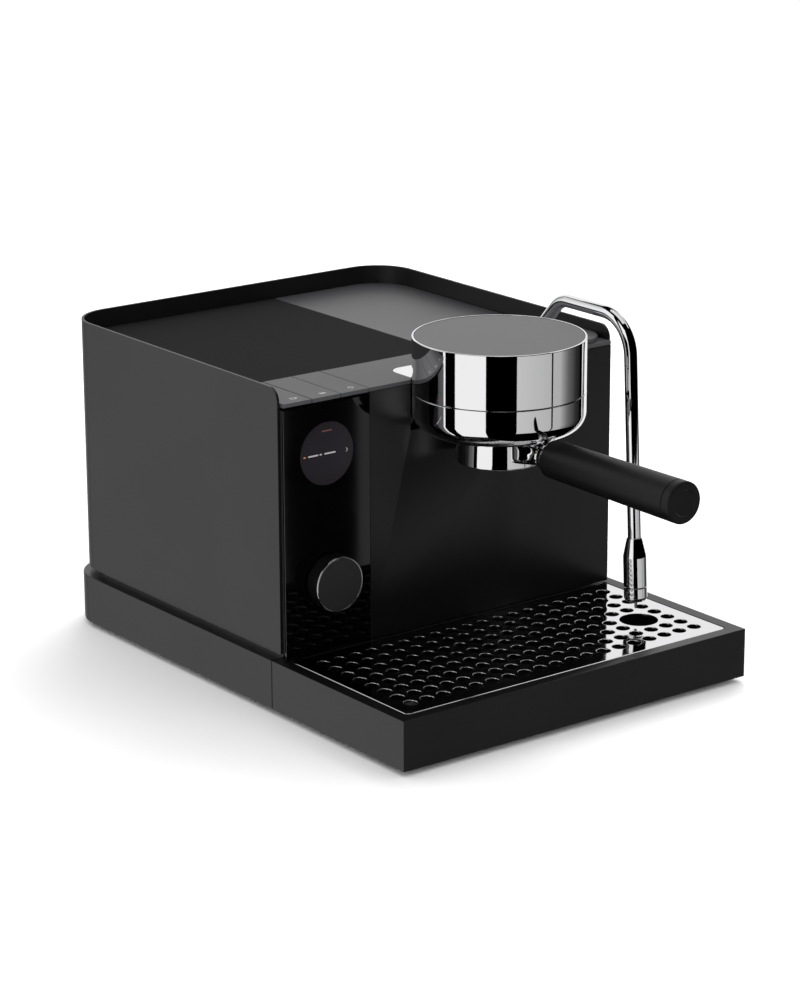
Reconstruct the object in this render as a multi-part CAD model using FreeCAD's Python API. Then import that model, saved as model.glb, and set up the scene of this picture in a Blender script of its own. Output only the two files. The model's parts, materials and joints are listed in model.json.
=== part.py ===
"""Espresso machine: a flat metal body on a low base, a chrome group head with a
portafilter in front of it, a steam wand beside it and a drip tray below.

Lengths are in millimetres.  While it is built, x = 0 is the middle of the machine,
y = 0 is the front face of the drip tray and z = 0 is the surface it stands on.
The finished model is then moved along y so that its origin is the middle of its
bounding box.
"""
import FreeCAD
import Part
import math
import os

V = FreeCAD.Vector
X_AXIS = V(1, 0, 0)
Y_AXIS = V(0, 1, 0)
Z_AXIS = V(0, 0, 1)

# ---------------------------------------------------------------- driving sizes
# Base and drip tray
BASE_WIDTH = 320.0
BASE_DEPTH = 443.0
BASE_HEIGHT = 37.8
FOOT_HEIGHT = 4.0
FOOT_RADIUS = 9.0
FOOT_SIDE_INSET = 34.0
FOOT_FRONT_INSET = 34.0
FOOT_MIDDLE_SHIFT = 8.0       # middle pair, behind half the depth
FOOT_REAR_INSET = 44.0
TRAY_DEPTH = 158.0
SEAM = 0.5                    # visible joint between two covers of the body
BASE_WALL = 2.5
BASE_PLATE_T = 2.4
TRAY_SKIRT = 9.5              # solid rim of the tray around the base plate
TRAY_FLOOR_T = 2.0
TRAY_MARGIN_SIDE = 10.6       # tray edge to drip plate
TRAY_MARGIN_FRONT = 10.0
PLATE_LEDGE = 3.5
PLATE_T = 1.6
PLATE_CORNER_R = 3.0
PLATE_FIT = 0.3               # gap around the drip plate
HOLE_PITCH = 14.8
HOLE_RADIUS = 5.1
HOLE_EDGE = 5.0               # least plain border around the hole grid
WAND_HOLE_RADIUS = 14.5
WAND_HOLE_FROM_RIGHT = 2.5    # columns; the wand hole takes the place of four small ones
WAND_HOLE_ROW = 2.5
FLOAT_STEM_RADIUS = 3.6
FLOAT_RADIUS = 9.0
FLOAT_HEIGHT = 10.0
FLOAT_TRAVEL = 8.0
FLOAT_HEADROOM = 4.0

# Body
SHELL_INSET = 4.7
SHELL_T = 2.0
SHELL_CORNER_R = 35.0
SHELL_TOP_FRONT_R = 10.0
SHELL_FRONT_Y = 152.9
SHELL_GAP = 5.2               # dark recess between base and shell
RIM_Z = 245.5
STRIP_Z = 234.6
STRIP_DEPTH = 61.3
STRIP_T = 3.0
DECK_Z = 231.0
DECK_T = 3.0
PANEL_Y = 149.0
PANEL_T = 3.0
PANEL_FLANGE = 12.0
GLASS_T = 2.0
PANEL_FLOOR_GAP = 1.0         # drip tray slides out under the front panels
CONTROL_WIDTH = 76.0
CONTROL_TOP_GAP = 5.1         # glass to the top of the keys above it
FIT = 0.4                     # gap between covers
EDGE_R = 0.4                  # eased edge of a turned cover
SOFT_EDGE_R = 0.8             # eased edge of a plastic part
POINT_TOLERANCE = 1e-6
DECK_SPLIT_X = 41.0
VENT_COLUMNS = 14
VENT_PITCH = 9.0
VENT_WIDTH = 3.4
VENT_HEIGHT = 24.0
VENT_ROWS_Z = (128.0, 160.0)
VENT_SIDE_INSET = 43.3
INLET_SIDE_INSET = 63.3
INLET_Z = 78.0
INLET_HALF_WIDTH = 14.0
INLET_HALF_HEIGHT = 11.0
INLET_DEPTH = 24.0
INLET_RECESS_DEPTH = 18.0
INLET_WALL = 2.0
INLET_FLANGE = 8.0
INLET_FLANGE_T = 3.0
INLET_PIN_LENGTH = 15.0
INLET_PIN_HALF_T = 1.0
INLET_PIN_HALF_HEIGHT = 2.2
INLET_PINS = ((-7.0, -2.0), (0.0, 2.0), (7.0, -2.0))

# Controls
KEY_COUNT = 3
KEY_GAP = 0.6
KEY_EYE_RADIUS = 2.6
KEY_EYE_HALF_LENGTH = 7.0
KEY_AXLE_RADIUS = 1.2
RUNNING_FIT = 0.05
KEY_SETBACK = 4.5
DISPLAY_Z = 192.2
DISPLAY_RADIUS = 23.5
DISPLAY_PANEL_INSET = 1.0
DISPLAY_BOARD_MARGIN = 3.0
BEZEL_WALL = 3.0
SWITCH_SETBACK = 20.0
SWITCH_GAP = 1.8              # key underside to switch
SWITCH_HEIGHT = 6.6
SWITCH_HALF = 3.0
SWITCH_STEM_RADIUS = 1.6
SWITCH_STEM = 2.0
KEY_BOARD_INSET = 4.0
KEY_BOARD_REAR_GAP = 6.0
KNOB_Z = 97.1
KNOB_RADIUS = 20.5
KNOB_DEPTH = 12.5
KNOB_GAP = 2.2
KNOB_FACE_T = 1.6
KNOB_FACE_SINK = 0.2
KNOB_RIM = 1.0
KNOB_EDGE_R = 0.6
KNOB_BACK_R = 0.8
KNOB_SHAFT_FRONT = 4.0        # knob face to shaft end
KNOB_PUSH = 1.0
KNOB_SHAFT_RADIUS = 3.0
KNOB_BUSH_RADIUS = 4.9
KNOB_BUSH_RISE = 0.2
ENCODER_HALF = 8.0
ENCODER_DEPTH = 12.0
ENCODER_END_GAP = 2.0

# Group head
HEAD_X = 13.0
RING_PANEL_GAP = 6.5          # filter ring to front panel
HEAD_RADIUS = 63.8
HEAD_TOP_Z = 267.5
HEAD_SEAM_Z = 226.8
HEAD_BOTTOM_Z = 197.0
HEAD_FILLET = 15.0
HEAD_WALL = 2.5
HEAD_CAP_T = 2.8
HEAD_RIM = 1.4
HEAD_FIT = 0.5
HEAD_SEAM = 0.3
HEAD_CAP_SINK = 0.3
HEAD_CAP_GAP = 0.15
ARM_SLOT_MARGIN = 2.0         # arm slot behind the bowl's flat floor
NECK_SIDE_INSET = 15.8        # head side to neck side
NECK_BEHIND_HEAD = 8.0
NECK_CORNER_R = 10.7
ARM_HALF_WIDTH = 24.0
ARM_TOP_Z = 226.0
ARM_REAR_Y = 214.0
ARM_PLATE_Z = 218.0
ARM_PLATE_T = 4.0
ARM_PLATE_GAP = 0.8
ARM_FLOOR_GAP = 2.0
ARM_ROOT = 10.0               # overlap of the arm with its disc
BLOCK_TOP_Z = 240.0
BLOCK_WALL = 2.2
WATER_WAY_RADIUS = 3.0
WATER_WAY_TOP_GAP = 10.0

# Portafilter
RING_RADIUS = 31.0
RING_FOOT_FLARE = 0.9
RING_STEP = 2.0               # straight part of the ring below the head
RING_BOTTOM_Z = 173.7
RING_TOP_Z = 204.0
BASKET_INSET = 2.0            # ring outside to basket outside
BASKET_BORE_GAP = 0.3
BASKET_WALL = 0.8
BASKET_BOTTOM_Z = 180.0
BASKET_RIM = 1.8
BASKET_HOLE_RADIUS = 0.7
BASKET_FOOT_R = 2.0
BASKET_LIP_R = 0.3
BASKET_HOLE_PITCH = 3.7
BASKET_HOLE_RINGS = 6
BASKET_HOLE_MARGIN = 4.0
LUG_REACH = 4.0
LUG_HALF_ANGLE = 19.0
LUG_HEIGHT = 4.0
LUG_DROP = 0.7                # ring top to lug top
LUG_ENTRY_MARGIN = 3.0        # degrees each side
PF_FIT = 0.4                  # portafilter to group head, all round
RING_FOOT_R = 1.2
RING_TOP_R = 0.3
LEDGE_OVERLAP = 0.1
CHANNEL_STEP = 0.2
GASKET_HEIGHT = 7.0
GASKET_SCREEN_GAP = 0.6
GASKET_OVERHANG = 1.5
SCREEN_INSET = 4.0            # ring outside to screen outside
SCREEN_T = 1.0
SCREEN_DEPTH = 2.6
SCREEN_HOLE_RADIUS = 0.8
SCREEN_HOLE_PITCH = 4.6
SCREEN_HOLE_RINGS = 5
SCREEN_HOLE_MARGIN = 3.0
SCREEN_BOLT_RADIUS = 1.9
SCREEN_BOLT_LENGTH = 12.0
PF_UNLOCK_ANGLE = 50.0
HANDLE_Z = 188.2
GRIP_LENGTH = 140.0           # with its end cap
GRIP_UNDER_HEAD = 1.8         # grip's rear end, behind the head's front
GRIP_RADIUS = 15.3
GRIP_REAR_RADIUS = 14.0
END_CAP_LENGTH = 8.0
END_CAP_SEAM = 0.4
END_CAP_RECESS = 0.6
END_CAP_RECESS_PART = 0.62    # of the grip's radius
FERRULE_LENGTH = 11.0
FERRULE_STEP = 0.6            # collar over the stem at its rear end
FERRULE_SWELL = 1.9           # collar over the stem at its middle
FERRULE_FLARE = 4.5           # collar over the stem at the grip
FERRULE_SWELL_START = 7.5     # before the grip
FERRULE_FLARE_START = 3.0
FERRULE_LIP = 0.7
GRIP_EDGE_R = 1.2
END_CAP_EDGE_R = 1.6
STEM_RADIUS = 8.0
STEM_HALF_WIDTH = 12.0
STEM_LOW = 9.0
STEM_HIGH = 7.0
STEM_ROOT = 5.0               # stem inside the ring's outline
STEM_EDGE_R = 3.0
HANDLE_ROD_RADIUS = 5.0
HANDLE_ROD_GRASP = 8.0        # rod inside the stem
HANDLE_ROD_END = 30.0         # end cap to rod

# Steam wand
WAND_RADIUS = 5.0
WAND_BALL_Y = 186.6
WAND_RISE_ANGLE = 48.0
WAND_RUN_Z = 271.2
WAND_TOP_BEND = 20.0
WAND_FRONT_BEND = 30.0
WAND_DROP_Y = 80.2            # where the run would meet the falling tube
WAND_LEAN = 3.2
WAND_SLEEVE_RADIUS = 8.8
WAND_SLEEVE_Z = 91.3
WAND_CONE_LENGTH = 14.0
WAND_TIP_Z = 56.4
WAND_TIP_LENGTH = 11.0
WAND_TIP_SEAM = 0.5
WAND_SHOULDER = 0.8
WAND_CONE_R = 6.0
WAND_SLEEVE_EDGE_R = 0.3
WAND_TIP_R = 3.5
PROBE_RADIUS = 1.1
PROBE_LENGTH = 6.0
PROBE_ROOT = 2.0
PROBE_END_R = 0.8
WAND_BALL_RADIUS = 9.0
WAND_BALL_RISE = 2.0          # ball centre above the pad
WAND_SOCKET_RADIUS = 13.5
SOCKET_DEPTH = 14.0           # below the strip's top
SOCKET_RISE = 3.2             # above the pad
SOCKET_GAP = 0.3
SOCKET_EDGE_R = 1.2
PAD_RISE = 3.6
PAD_REACH = 29.0              # wand to the pad's left end
PAD_FRONT_SETBACK = 2.0
PAD_REAR_SETBACK = 1.0
PAD_CHAMFER = 0.6
PAD_CORNER_R = 22.0

# Water tank
TANK_WALL = 2.5
TANK_BOTTOM_Z = 62.0
TANK_FIT = 4.0
TANK_CORNER_R = 8.0
TANK_CORNER_LEAST_R = 1.0
TANK_REAR_CORNER_R = 27.0
LID_T = 4.0
LID_RIB = 4.0
LID_RIB_T = 2.0
VALVE_RADIUS = 9.0
VALVE_HEIGHT = 8.0
VALVE_BORE = 2.0
VALVE_NECK = 3.0
VALVE_SIDE_INSET = 24.0
VALVE_FRONT_INSET = 30.0
SEAT_GAP = 0.5
SEAT_WALL = 4.0
SEAT_CLEARANCE = 1.0

# Inside
FRAME_T = 2.0
FRAME_SETBACK = 6.0
FRAME_SKIRT_HEIGHT = 10.0     # above the shell's lower edge
FRAME_BAY_GAP = 3.0
FRAME_HOLE_RISE = 20.0        # control opening above the shell's lower edge
FRAME_INLET_MARGIN = 2.0
FRAME_INLET_DEPTH = 8.0
BOILER_X = -12.0
BOILER_Y = 262.0
BOILER_RADIUS = 36.0
BOILER_HEIGHT = 112.0
BOILER_FILLET = 6.0
BOILER_FOOT_COUNT = 3
BOILER_FOOT_INSET = 14.0
BOILER_FOOT_RADIUS = 4.0
BOILER_FOOT_HEIGHT = 8.0
VALVE_SPREAD = 17.0           # brew and steam valves, each side of the boiler's axis
VALVE_HALF_WIDTH = 11.0
VALVE_HALF_DEPTH = 13.0
VALVE_BLOCK_HEIGHT = 14.0
COIL_RADIUS = 9.0
COIL_HEIGHT = 26.0
PUMP_SIDE_INSET = 49.3
PUMP_REAR_INSET = 85.3
PUMP_RADIUS = 19.0
PUMP_LENGTH = 96.0
PUMP_CLEARANCE = 9.0          # frame floor to pump body
PUMP_OUTLET_RADIUS = 6.0
PUMP_OUTLET_LENGTH = 18.0
PUMP_MOUNT_WIDTH = 9.0
PUMP_MOUNT_INSET = 16.0
PUMP_MOUNT_MARGIN = 4.0
METER_FROM_PUMP = 46.0
METER_REAR_INSET = 40.0
METER_RADIUS = 15.0
METER_HEIGHT = 20.0
METER_PORT_RADIUS = 5.0
METER_PORT_HEIGHT = 9.0
HOSE_RADIUS = 3.0
HOSE_BEND = 7.0
HOSE_TIGHT_BEND = 4.0
HOSE_WIDE_BEND = 10.0
HOSE_BELOW_HEAD = 12.0
HOSE_WALL_GAP = 8.0
BREW_HOSE_SETBACK = 22.0      # behind the arm
FEED_RISE = 60.0
FEED_SETBACK = 18.0           # behind the boiler
BOARD_T = 1.6
BOARD_WALL_GAP = 8.0
BOARD_FRONT_Y = 200.0
BOARD_REAR_Y = 330.0
BOARD_FLOOR_GAP = 22.0
BOARD_TOP_GAP = 40.0
SINK_FRONT_Y = 215.0
SINK_REAR_Y = 240.0
SINK_BOTTOM_Z = 90.0
SINK_TOP_Z = 130.0
SINK_DEPTH = 16.0
RELAY_FRONT_Y = 255.0
RELAY_REAR_Y = 275.0
RELAY_BOTTOM_Z = 100.0
RELAY_TOP_Z = 125.0
RELAY_DEPTH = 12.0
CAPACITOR_Y = 300.0
CAPACITOR_Z = 110.0
CAPACITOR_RADIUS = 8.0
CAPACITOR_LENGTH = 18.0
SCREW_RADIUS = 3.4
SCREW_HEAD = 1.8
SCREW_SLOT = 1.0
SCREW_SLOT_DEPTH = 0.7
SCREW_END_INSET = 22.0
SCREW_SIDE_INSET = 14.0
REAR_SCREW_RISE = 5.0         # above the shell's lower edge
REAR_SCREW_PARTS = (-0.68, -0.26, 0.26, 0.68)   # of half the shell's width
CUT = 1.0                     # how far a cutting shape passes the face it cuts

# ---------------------------------------------------------------- derived sizes
BASE_TOP_Z = FOOT_HEIGHT + BASE_HEIGHT
HALF_BASE = BASE_WIDTH / 2
HALF_SHELL = HALF_BASE - SHELL_INSET
HALF_INNER = HALF_SHELL - SHELL_T
HALF_COVER = HALF_INNER - FIT
BASE_CORNER_R = SHELL_CORNER_R + SHELL_INSET
SHELL_REAR_Y = BASE_DEPTH - SHELL_INSET
INNER_REAR_Y = SHELL_REAR_Y - SHELL_T
INNER_CORNER_R = SHELL_CORNER_R - SHELL_T
SHELL_BOTTOM_Z = BASE_TOP_Z + SHELL_GAP
PLATE_HALF = HALF_BASE - TRAY_MARGIN_SIDE
PLATE_REAR_Y = PANEL_Y - SEAM
PLATE_MID_Y = (TRAY_MARGIN_FRONT + PLATE_REAR_Y) / 2
HOLE_COLUMNS = int((2 * PLATE_HALF - 2 * HOLE_EDGE) / HOLE_PITCH)
HOLE_ROWS = int((PLATE_REAR_Y - TRAY_MARGIN_FRONT - 2 * HOLE_EDGE) / HOLE_PITCH)
WAND_HOLE_COLUMN = HOLE_COLUMNS - WAND_HOLE_FROM_RIGHT
PANEL_BOTTOM_Z = BASE_TOP_Z + PANEL_FLOOR_GAP
CONTROL_RIGHT_X = -HALF_COVER + CONTROL_WIDTH
CONTROL_TOP_Z = STRIP_Z - CONTROL_TOP_GAP
STRIP_REAR_Y = PANEL_Y + STRIP_DEPTH
DECK_FRONT_Y = STRIP_REAR_Y + FIT
DECK_REAR_Y = INNER_REAR_Y - FIT
KEY_AXLE_Y = STRIP_REAR_Y - KEY_SETBACK
KEY_AXLE_Z = STRIP_Z - STRIP_T - KEY_EYE_RADIUS
BEZEL_BACK_Y = PANEL_Y + PANEL_FLANGE
CONTROL_X = -HALF_COVER + CONTROL_WIDTH / 2
SWITCH_Y = PANEL_Y + SWITCH_SETBACK
SWITCH_TOP_Z = STRIP_Z - STRIP_T - SWITCH_GAP
KEY_BOARD_Z = SWITCH_TOP_Z - SWITCH_HEIGHT
VENT_LEFT_X = -HALF_SHELL + VENT_SIDE_INSET
INLET_X = -HALF_SHELL + INLET_SIDE_INSET
KNOB_BACK_Y = PANEL_Y - KNOB_GAP
KNOB_FACE_Y = KNOB_BACK_Y - KNOB_DEPTH
WAND_X = (WAND_HOLE_COLUMN - (HOLE_COLUMNS - 1) / 2) * HOLE_PITCH
PAD_LEFT_X = WAND_X - PAD_REACH
PAD_TOP_Z = STRIP_Z + PAD_RISE
WAND_BALL_Z = PAD_TOP_Z + WAND_BALL_RISE
HEAD_Y = PANEL_Y - RING_PANEL_GAP - RING_RADIUS
NECK_HALF_WIDTH = HEAD_RADIUS - NECK_SIDE_INSET
NECK_REAR_Y = HEAD_Y + HEAD_RADIUS + NECK_BEHIND_HEAD
GRIP_REAR_Y = HEAD_Y - HEAD_RADIUS + GRIP_UNDER_HEAD
GRIP_FRONT_Y = GRIP_REAR_Y - GRIP_LENGTH
RING_FOOT_RADIUS = RING_RADIUS + RING_FOOT_FLARE
BASKET_RADIUS = RING_RADIUS - BASKET_INSET
SCREEN_RADIUS = RING_RADIUS - SCREEN_INSET
BLOCK_RADIUS = RING_RADIUS + PF_FIT + LUG_REACH + PF_FIT + BLOCK_WALL
LUG_TOP_Z = RING_TOP_Z - LUG_DROP
LUG_BOTTOM_Z = LUG_TOP_Z - LUG_HEIGHT
LEDGE_TOP_Z = LUG_BOTTOM_Z - PF_FIT
BASKET_TOP_Z = RING_TOP_Z + BASKET_WALL
GASKET_BOTTOM_Z = BASKET_TOP_Z + PF_FIT
GASKET_INNER = SCREEN_RADIUS + GASKET_SCREEN_GAP
GASKET_OUTER = RING_RADIUS + GASKET_OVERHANG
TANK_LEFT_X = DECK_SPLIT_X + TANK_FIT
TANK_RIGHT_X = HALF_INNER - TANK_FIT
TANK_FRONT_Y = DECK_FRONT_Y + TANK_FIT
TANK_REAR_Y = INNER_REAR_Y - 2 * TANK_FIT
TANK_TOP_Z = DECK_Z - LID_T - FIT
FRAME_HALF = HALF_INNER - FRAME_SETBACK
FRAME_REAR_Y = INNER_REAR_Y - FRAME_SETBACK
FRAME_WALL_X = (DECK_SPLIT_X + TANK_LEFT_X) / 2 - FRAME_T - FRAME_BAY_GAP
FRAME_FLOOR_Z = BASE_TOP_Z + FRAME_T
FRAME_FRONT_Y = PANEL_Y + PANEL_FLANGE + FIT
FRAME_TOP_Z = DECK_Z - DECK_T - FIT
BOILER_LOW_Z = FRAME_FLOOR_Z + BOILER_FOOT_HEIGHT
VALVE_Z = BOILER_LOW_Z + BOILER_HEIGHT
PUMP_X = -FRAME_HALF + PUMP_SIDE_INSET
PUMP_Y = FRAME_REAR_Y - PUMP_REAR_INSET
PUMP_Z = FRAME_FLOOR_Z + PUMP_CLEARANCE + PUMP_RADIUS
METER_X = PUMP_X + METER_FROM_PUMP
METER_Y = FRAME_REAR_Y - METER_REAR_INSET
ORIGIN_Y = (BASE_DEPTH + GRIP_FRONT_Y) / 2


# ---------------------------------------------------------------- shape helpers
def rounded_wire(points, radii, closed=True):
    """A wire through the points, with each corner rounded to its radius."""
    count = len(points)
    starts = []
    ends = []
    arcs = []
    for index, point in enumerate(points):
        radius = radii[index] if isinstance(radii, (list, tuple)) else radii
        is_end = not closed and index in (0, count - 1)
        if is_end or radius <= 0:
            starts.append(point)
            ends.append(point)
            arcs.append(None)
            continue
        to_last = (points[index - 1] - point).normalize()
        to_next = (points[(index + 1) % count] - point).normalize()
        half = to_last.getAngle(to_next) / 2
        reach = radius / math.tan(half)
        bisector = (to_last + to_next).normalize()
        middle = point + bisector * (radius / math.sin(half) - radius)
        starts.append(point + to_last * reach)
        ends.append(point + to_next * reach)
        arcs.append(Part.Arc(starts[-1], middle, ends[-1]).toShape())
    edges = []
    for index in range(count):
        if arcs[index] is not None:
            edges.append(arcs[index])
        is_last = index == count - 1
        if is_last and not closed:
            break
        following = starts[(index + 1) % count]
        if ends[index].distanceToPoint(following) > POINT_TOLERANCE:
            edges.append(Part.LineSegment(ends[index], following).toShape())
    return Part.Wire(edges)


def box(x0, x1, y0, y1, z0, z1):
    return Part.makeBox(x1 - x0, y1 - y0, z1 - z0, V(x0, y0, z0))


def slab(x0, x1, y0, y1, z0, z1, radii=0.0):
    """An upright block; radii run front left, front right, rear right, rear left."""
    corners = [V(x0, y0, z0), V(x1, y0, z0), V(x1, y1, z0), V(x0, y1, z0)]
    face = Part.Face(rounded_wire(corners, radii))
    return face.extrude(V(0, 0, z1 - z0))


def rod(x, y, z, radius, length, axis=Z_AXIS):
    return Part.makeCylinder(radius, length, V(x, y, z), axis)


def turned(profile, radii=0.0):
    """A solid turned about the z axis from (radius, height) points."""
    wire = rounded_wire([V(r, 0, z) for r, z in profile], radii)
    return Part.Face(wire).revolve(V(0, 0, 0), Z_AXIS, 360)


def turned_head(profile, radii=0.0):
    shape = turned(profile, radii)
    shape.translate(V(HEAD_X, HEAD_Y, 0))
    return shape


def tube_along(points, radius, bends):
    """A round bar along a bent path."""
    wire = rounded_wire(points, bends, closed=False)
    start = wire.Edges[0]
    direction = start.tangentAt(start.FirstParameter)
    circle = Part.Wire(Part.makeCircle(radius, points[0], direction))
    return wire.makePipeShell([circle], True, True)


def group(shapes):
    """Separate solids that share one node."""
    return Part.makeCompound(shapes)


def hole_rings(radius, rings, spacing):
    """Centres of small holes in rings around a middle hole."""
    centres = [(0.0, 0.0)]
    for ring in range(1, rings + 1):
        count = 6 * ring
        for step in range(count):
            angle = 2 * math.pi * step / count
            reach = ring * spacing
            if reach < radius:
                centres.append((reach * math.cos(angle), reach * math.sin(angle)))
    return centres


# ---------------------------------------------------------------- base and tray
def make_base_plinth():
    """Rear part of the base: a low box, open below, with round rear corners."""
    front = TRAY_DEPTH + SEAM / 2
    outer = slab(-HALF_BASE, HALF_BASE, front, BASE_DEPTH, FOOT_HEIGHT, BASE_TOP_Z,
                 (0, 0, BASE_CORNER_R, BASE_CORNER_R))
    inner_r = BASE_CORNER_R - BASE_WALL
    inner = slab(-HALF_BASE + BASE_WALL, HALF_BASE - BASE_WALL, front + BASE_WALL,
                 BASE_DEPTH - BASE_WALL, FOOT_HEIGHT - CUT, BASE_TOP_Z - BASE_WALL,
                 (0, 0, inner_r, inner_r))
    slot = box(-HALF_BASE + TRAY_SKIRT, HALF_BASE - TRAY_SKIRT, front - CUT,
               front + BASE_WALL + CUT, FOOT_HEIGHT - CUT, FOOT_HEIGHT + BASE_PLATE_T + FIT)
    return outer.cut(inner).cut(slot)


def make_base_plate():
    """Steel floor of the machine; its front tongue carries the drip tray."""
    rear_half = HALF_BASE - BASE_WALL - FIT
    rear_r = BASE_CORNER_R - BASE_WALL - FIT
    top = FOOT_HEIGHT + BASE_PLATE_T
    rear = slab(-rear_half, rear_half, TRAY_DEPTH + BASE_WALL + SEAM + FIT,
                BASE_DEPTH - BASE_WALL - FIT, FOOT_HEIGHT, top, (0, 0, rear_r, rear_r))
    tongue_half = HALF_BASE - TRAY_SKIRT - FIT
    tongue = box(-tongue_half, tongue_half, TRAY_SKIRT + FIT,
                 TRAY_DEPTH + 2 * TRAY_SKIRT, FOOT_HEIGHT, top)
    return rear.fuse(tongue).removeSplitter()


def foot_centres():
    reach_x = HALF_BASE - FOOT_SIDE_INSET
    rows = (FOOT_FRONT_INSET, BASE_DEPTH / 2 + FOOT_MIDDLE_SHIFT, BASE_DEPTH - FOOT_REAR_INSET)
    return [(side * reach_x, y) for y in rows for side in (-1, 1)]


def make_feet():
    return group([rod(x, y, 0, FOOT_RADIUS, FOOT_HEIGHT) for x, y in foot_centres()])


def make_drip_tray():
    """Tray with a basin, a ledge for the drip plate and a skirt over the base plate."""
    rear = TRAY_DEPTH - SEAM / 2
    block = box(-HALF_BASE, HALF_BASE, 0, rear, FOOT_HEIGHT + FIT, BASE_TOP_Z)
    seat = slab(-PLATE_HALF - PLATE_FIT, PLATE_HALF + PLATE_FIT,
                TRAY_MARGIN_FRONT - PLATE_FIT, PLATE_REAR_Y + PLATE_FIT,
                BASE_TOP_Z - PLATE_T, BASE_TOP_Z + CUT, PLATE_CORNER_R + PLATE_FIT)
    tongue_top = FOOT_HEIGHT + BASE_PLATE_T + FIT
    basin = slab(-PLATE_HALF + PLATE_LEDGE, PLATE_HALF - PLATE_LEDGE,
                 TRAY_MARGIN_FRONT + PLATE_LEDGE, PLATE_REAR_Y - PLATE_LEDGE,
                 tongue_top + TRAY_FLOOR_T, BASE_TOP_Z, 2 * PLATE_CORNER_R)
    under = box(-HALF_BASE + TRAY_SKIRT, HALF_BASE - TRAY_SKIRT, TRAY_SKIRT, rear + CUT,
                0, tongue_top)
    return block.cut(seat).cut(basin).cut(under)


def grid_centre(column, row):
    x = (column - (HOLE_COLUMNS - 1) / 2) * HOLE_PITCH
    y = PLATE_MID_Y + (row - (HOLE_ROWS - 1) / 2) * HOLE_PITCH
    return x, y


def make_drip_plate():
    """Polished plate with a square grid of holes and one large hole for the wand."""
    z = BASE_TOP_Z - PLATE_T
    outer = rounded_wire([V(-PLATE_HALF, TRAY_MARGIN_FRONT, z), V(PLATE_HALF, TRAY_MARGIN_FRONT, z),
                          V(PLATE_HALF, PLATE_REAR_Y, z), V(-PLATE_HALF, PLATE_REAR_Y, z)],
                         PLATE_CORNER_R)
    wand_x, wand_y = grid_centre(WAND_HOLE_COLUMN, WAND_HOLE_ROW)
    wires = [outer, Part.Wire(Part.makeCircle(WAND_HOLE_RADIUS, V(wand_x, wand_y, z)))]
    for column in range(HOLE_COLUMNS):
        for row in range(HOLE_ROWS):
            x, y = grid_centre(column, row)
            if math.hypot(x - wand_x, y - wand_y) > HOLE_PITCH:
                wires.append(Part.Wire(Part.makeCircle(HOLE_RADIUS, V(x, y, z))))
    face = Part.Face(wires, "Part::FaceMakerBullseye")
    return face.extrude(V(0, 0, PLATE_T))


def make_tray_float():
    """Full-tray indicator: a float whose stem stands in the corner hole."""
    x, y = grid_centre(0, 0)
    stem_top = BASE_TOP_Z - PLATE_T / 2
    float_top = BASE_TOP_Z - PLATE_T - FLOAT_TRAVEL - FLOAT_HEADROOM
    body = turned([(0, float_top - FLOAT_HEIGHT), (FLOAT_RADIUS, float_top - FLOAT_HEIGHT),
                   (FLOAT_RADIUS, float_top), (FLOAT_STEM_RADIUS, float_top),
                   (FLOAT_STEM_RADIUS, stem_top), (0, stem_top)])
    body.translate(V(x, y, 0))
    return body


# ---------------------------------------------------------------- body
def shell_outline(inset, z0, z1, front=SHELL_FRONT_Y):
    radius = SHELL_CORNER_R - inset
    half = HALF_SHELL - inset
    return slab(-half, half, front, SHELL_REAR_Y - inset, z0, z1, (0, 0, radius, radius))


def make_shell():
    """One bent sheet: left side, rear and right side, standing up as a rim."""
    outer = shell_outline(0.0, SHELL_BOTTOM_Z, RIM_Z)
    inner = shell_outline(SHELL_T, SHELL_BOTTOM_Z - CUT, RIM_Z + CUT, SHELL_FRONT_Y - CUT)
    shell = outer.cut(inner)
    corner = V(0, SHELL_FRONT_Y, RIM_Z)
    r = SHELL_TOP_FRONT_R
    square = box(-HALF_BASE, HALF_BASE, corner.y - CUT, corner.y + r, corner.z - r, corner.z + CUT)
    keep = rod(-HALF_BASE, corner.y + r, corner.z - r, r, BASE_WIDTH, X_AXIS)
    shell = shell.cut(square.cut(keep))
    cuts = []
    for column in range(VENT_COLUMNS):
        x = VENT_LEFT_X + column * VENT_PITCH
        for z in VENT_ROWS_Z:
            cuts.append(box(x, x + VENT_WIDTH, INNER_REAR_Y - CUT, SHELL_REAR_Y + CUT, z, z + VENT_HEIGHT))
    cuts.append(box(INLET_X - INLET_HALF_WIDTH - FIT, INLET_X + INLET_HALF_WIDTH + FIT,
                    INNER_REAR_Y - CUT, SHELL_REAR_Y + CUT,
                    INLET_Z - INLET_HALF_HEIGHT - FIT, INLET_Z + INLET_HALF_HEIGHT + FIT))
    return shell.cut(group(cuts))


def head_clearance():
    return rod(HEAD_X, HEAD_Y, HEAD_BOTTOM_Z - HEAD_FIT, HEAD_RADIUS + HEAD_FIT,
               HEAD_TOP_Z - HEAD_BOTTOM_Z + 2 * CUT)


def make_front_panel():
    """Satin panel right of the controls, notched for the group head."""
    left = CONTROL_RIGHT_X + FIT
    top = STRIP_Z - STRIP_T - FIT / 2
    sheet = box(left, HALF_COVER, PANEL_Y, PANEL_Y + PANEL_T, PANEL_BOTTOM_Z, top)
    flange = box(HALF_COVER - SHELL_T, HALF_COVER, PANEL_Y, PANEL_Y + PANEL_FLANGE,
                 SHELL_BOTTOM_Z, top)
    return sheet.fuse(flange).cut(head_clearance()).removeSplitter()


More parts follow.
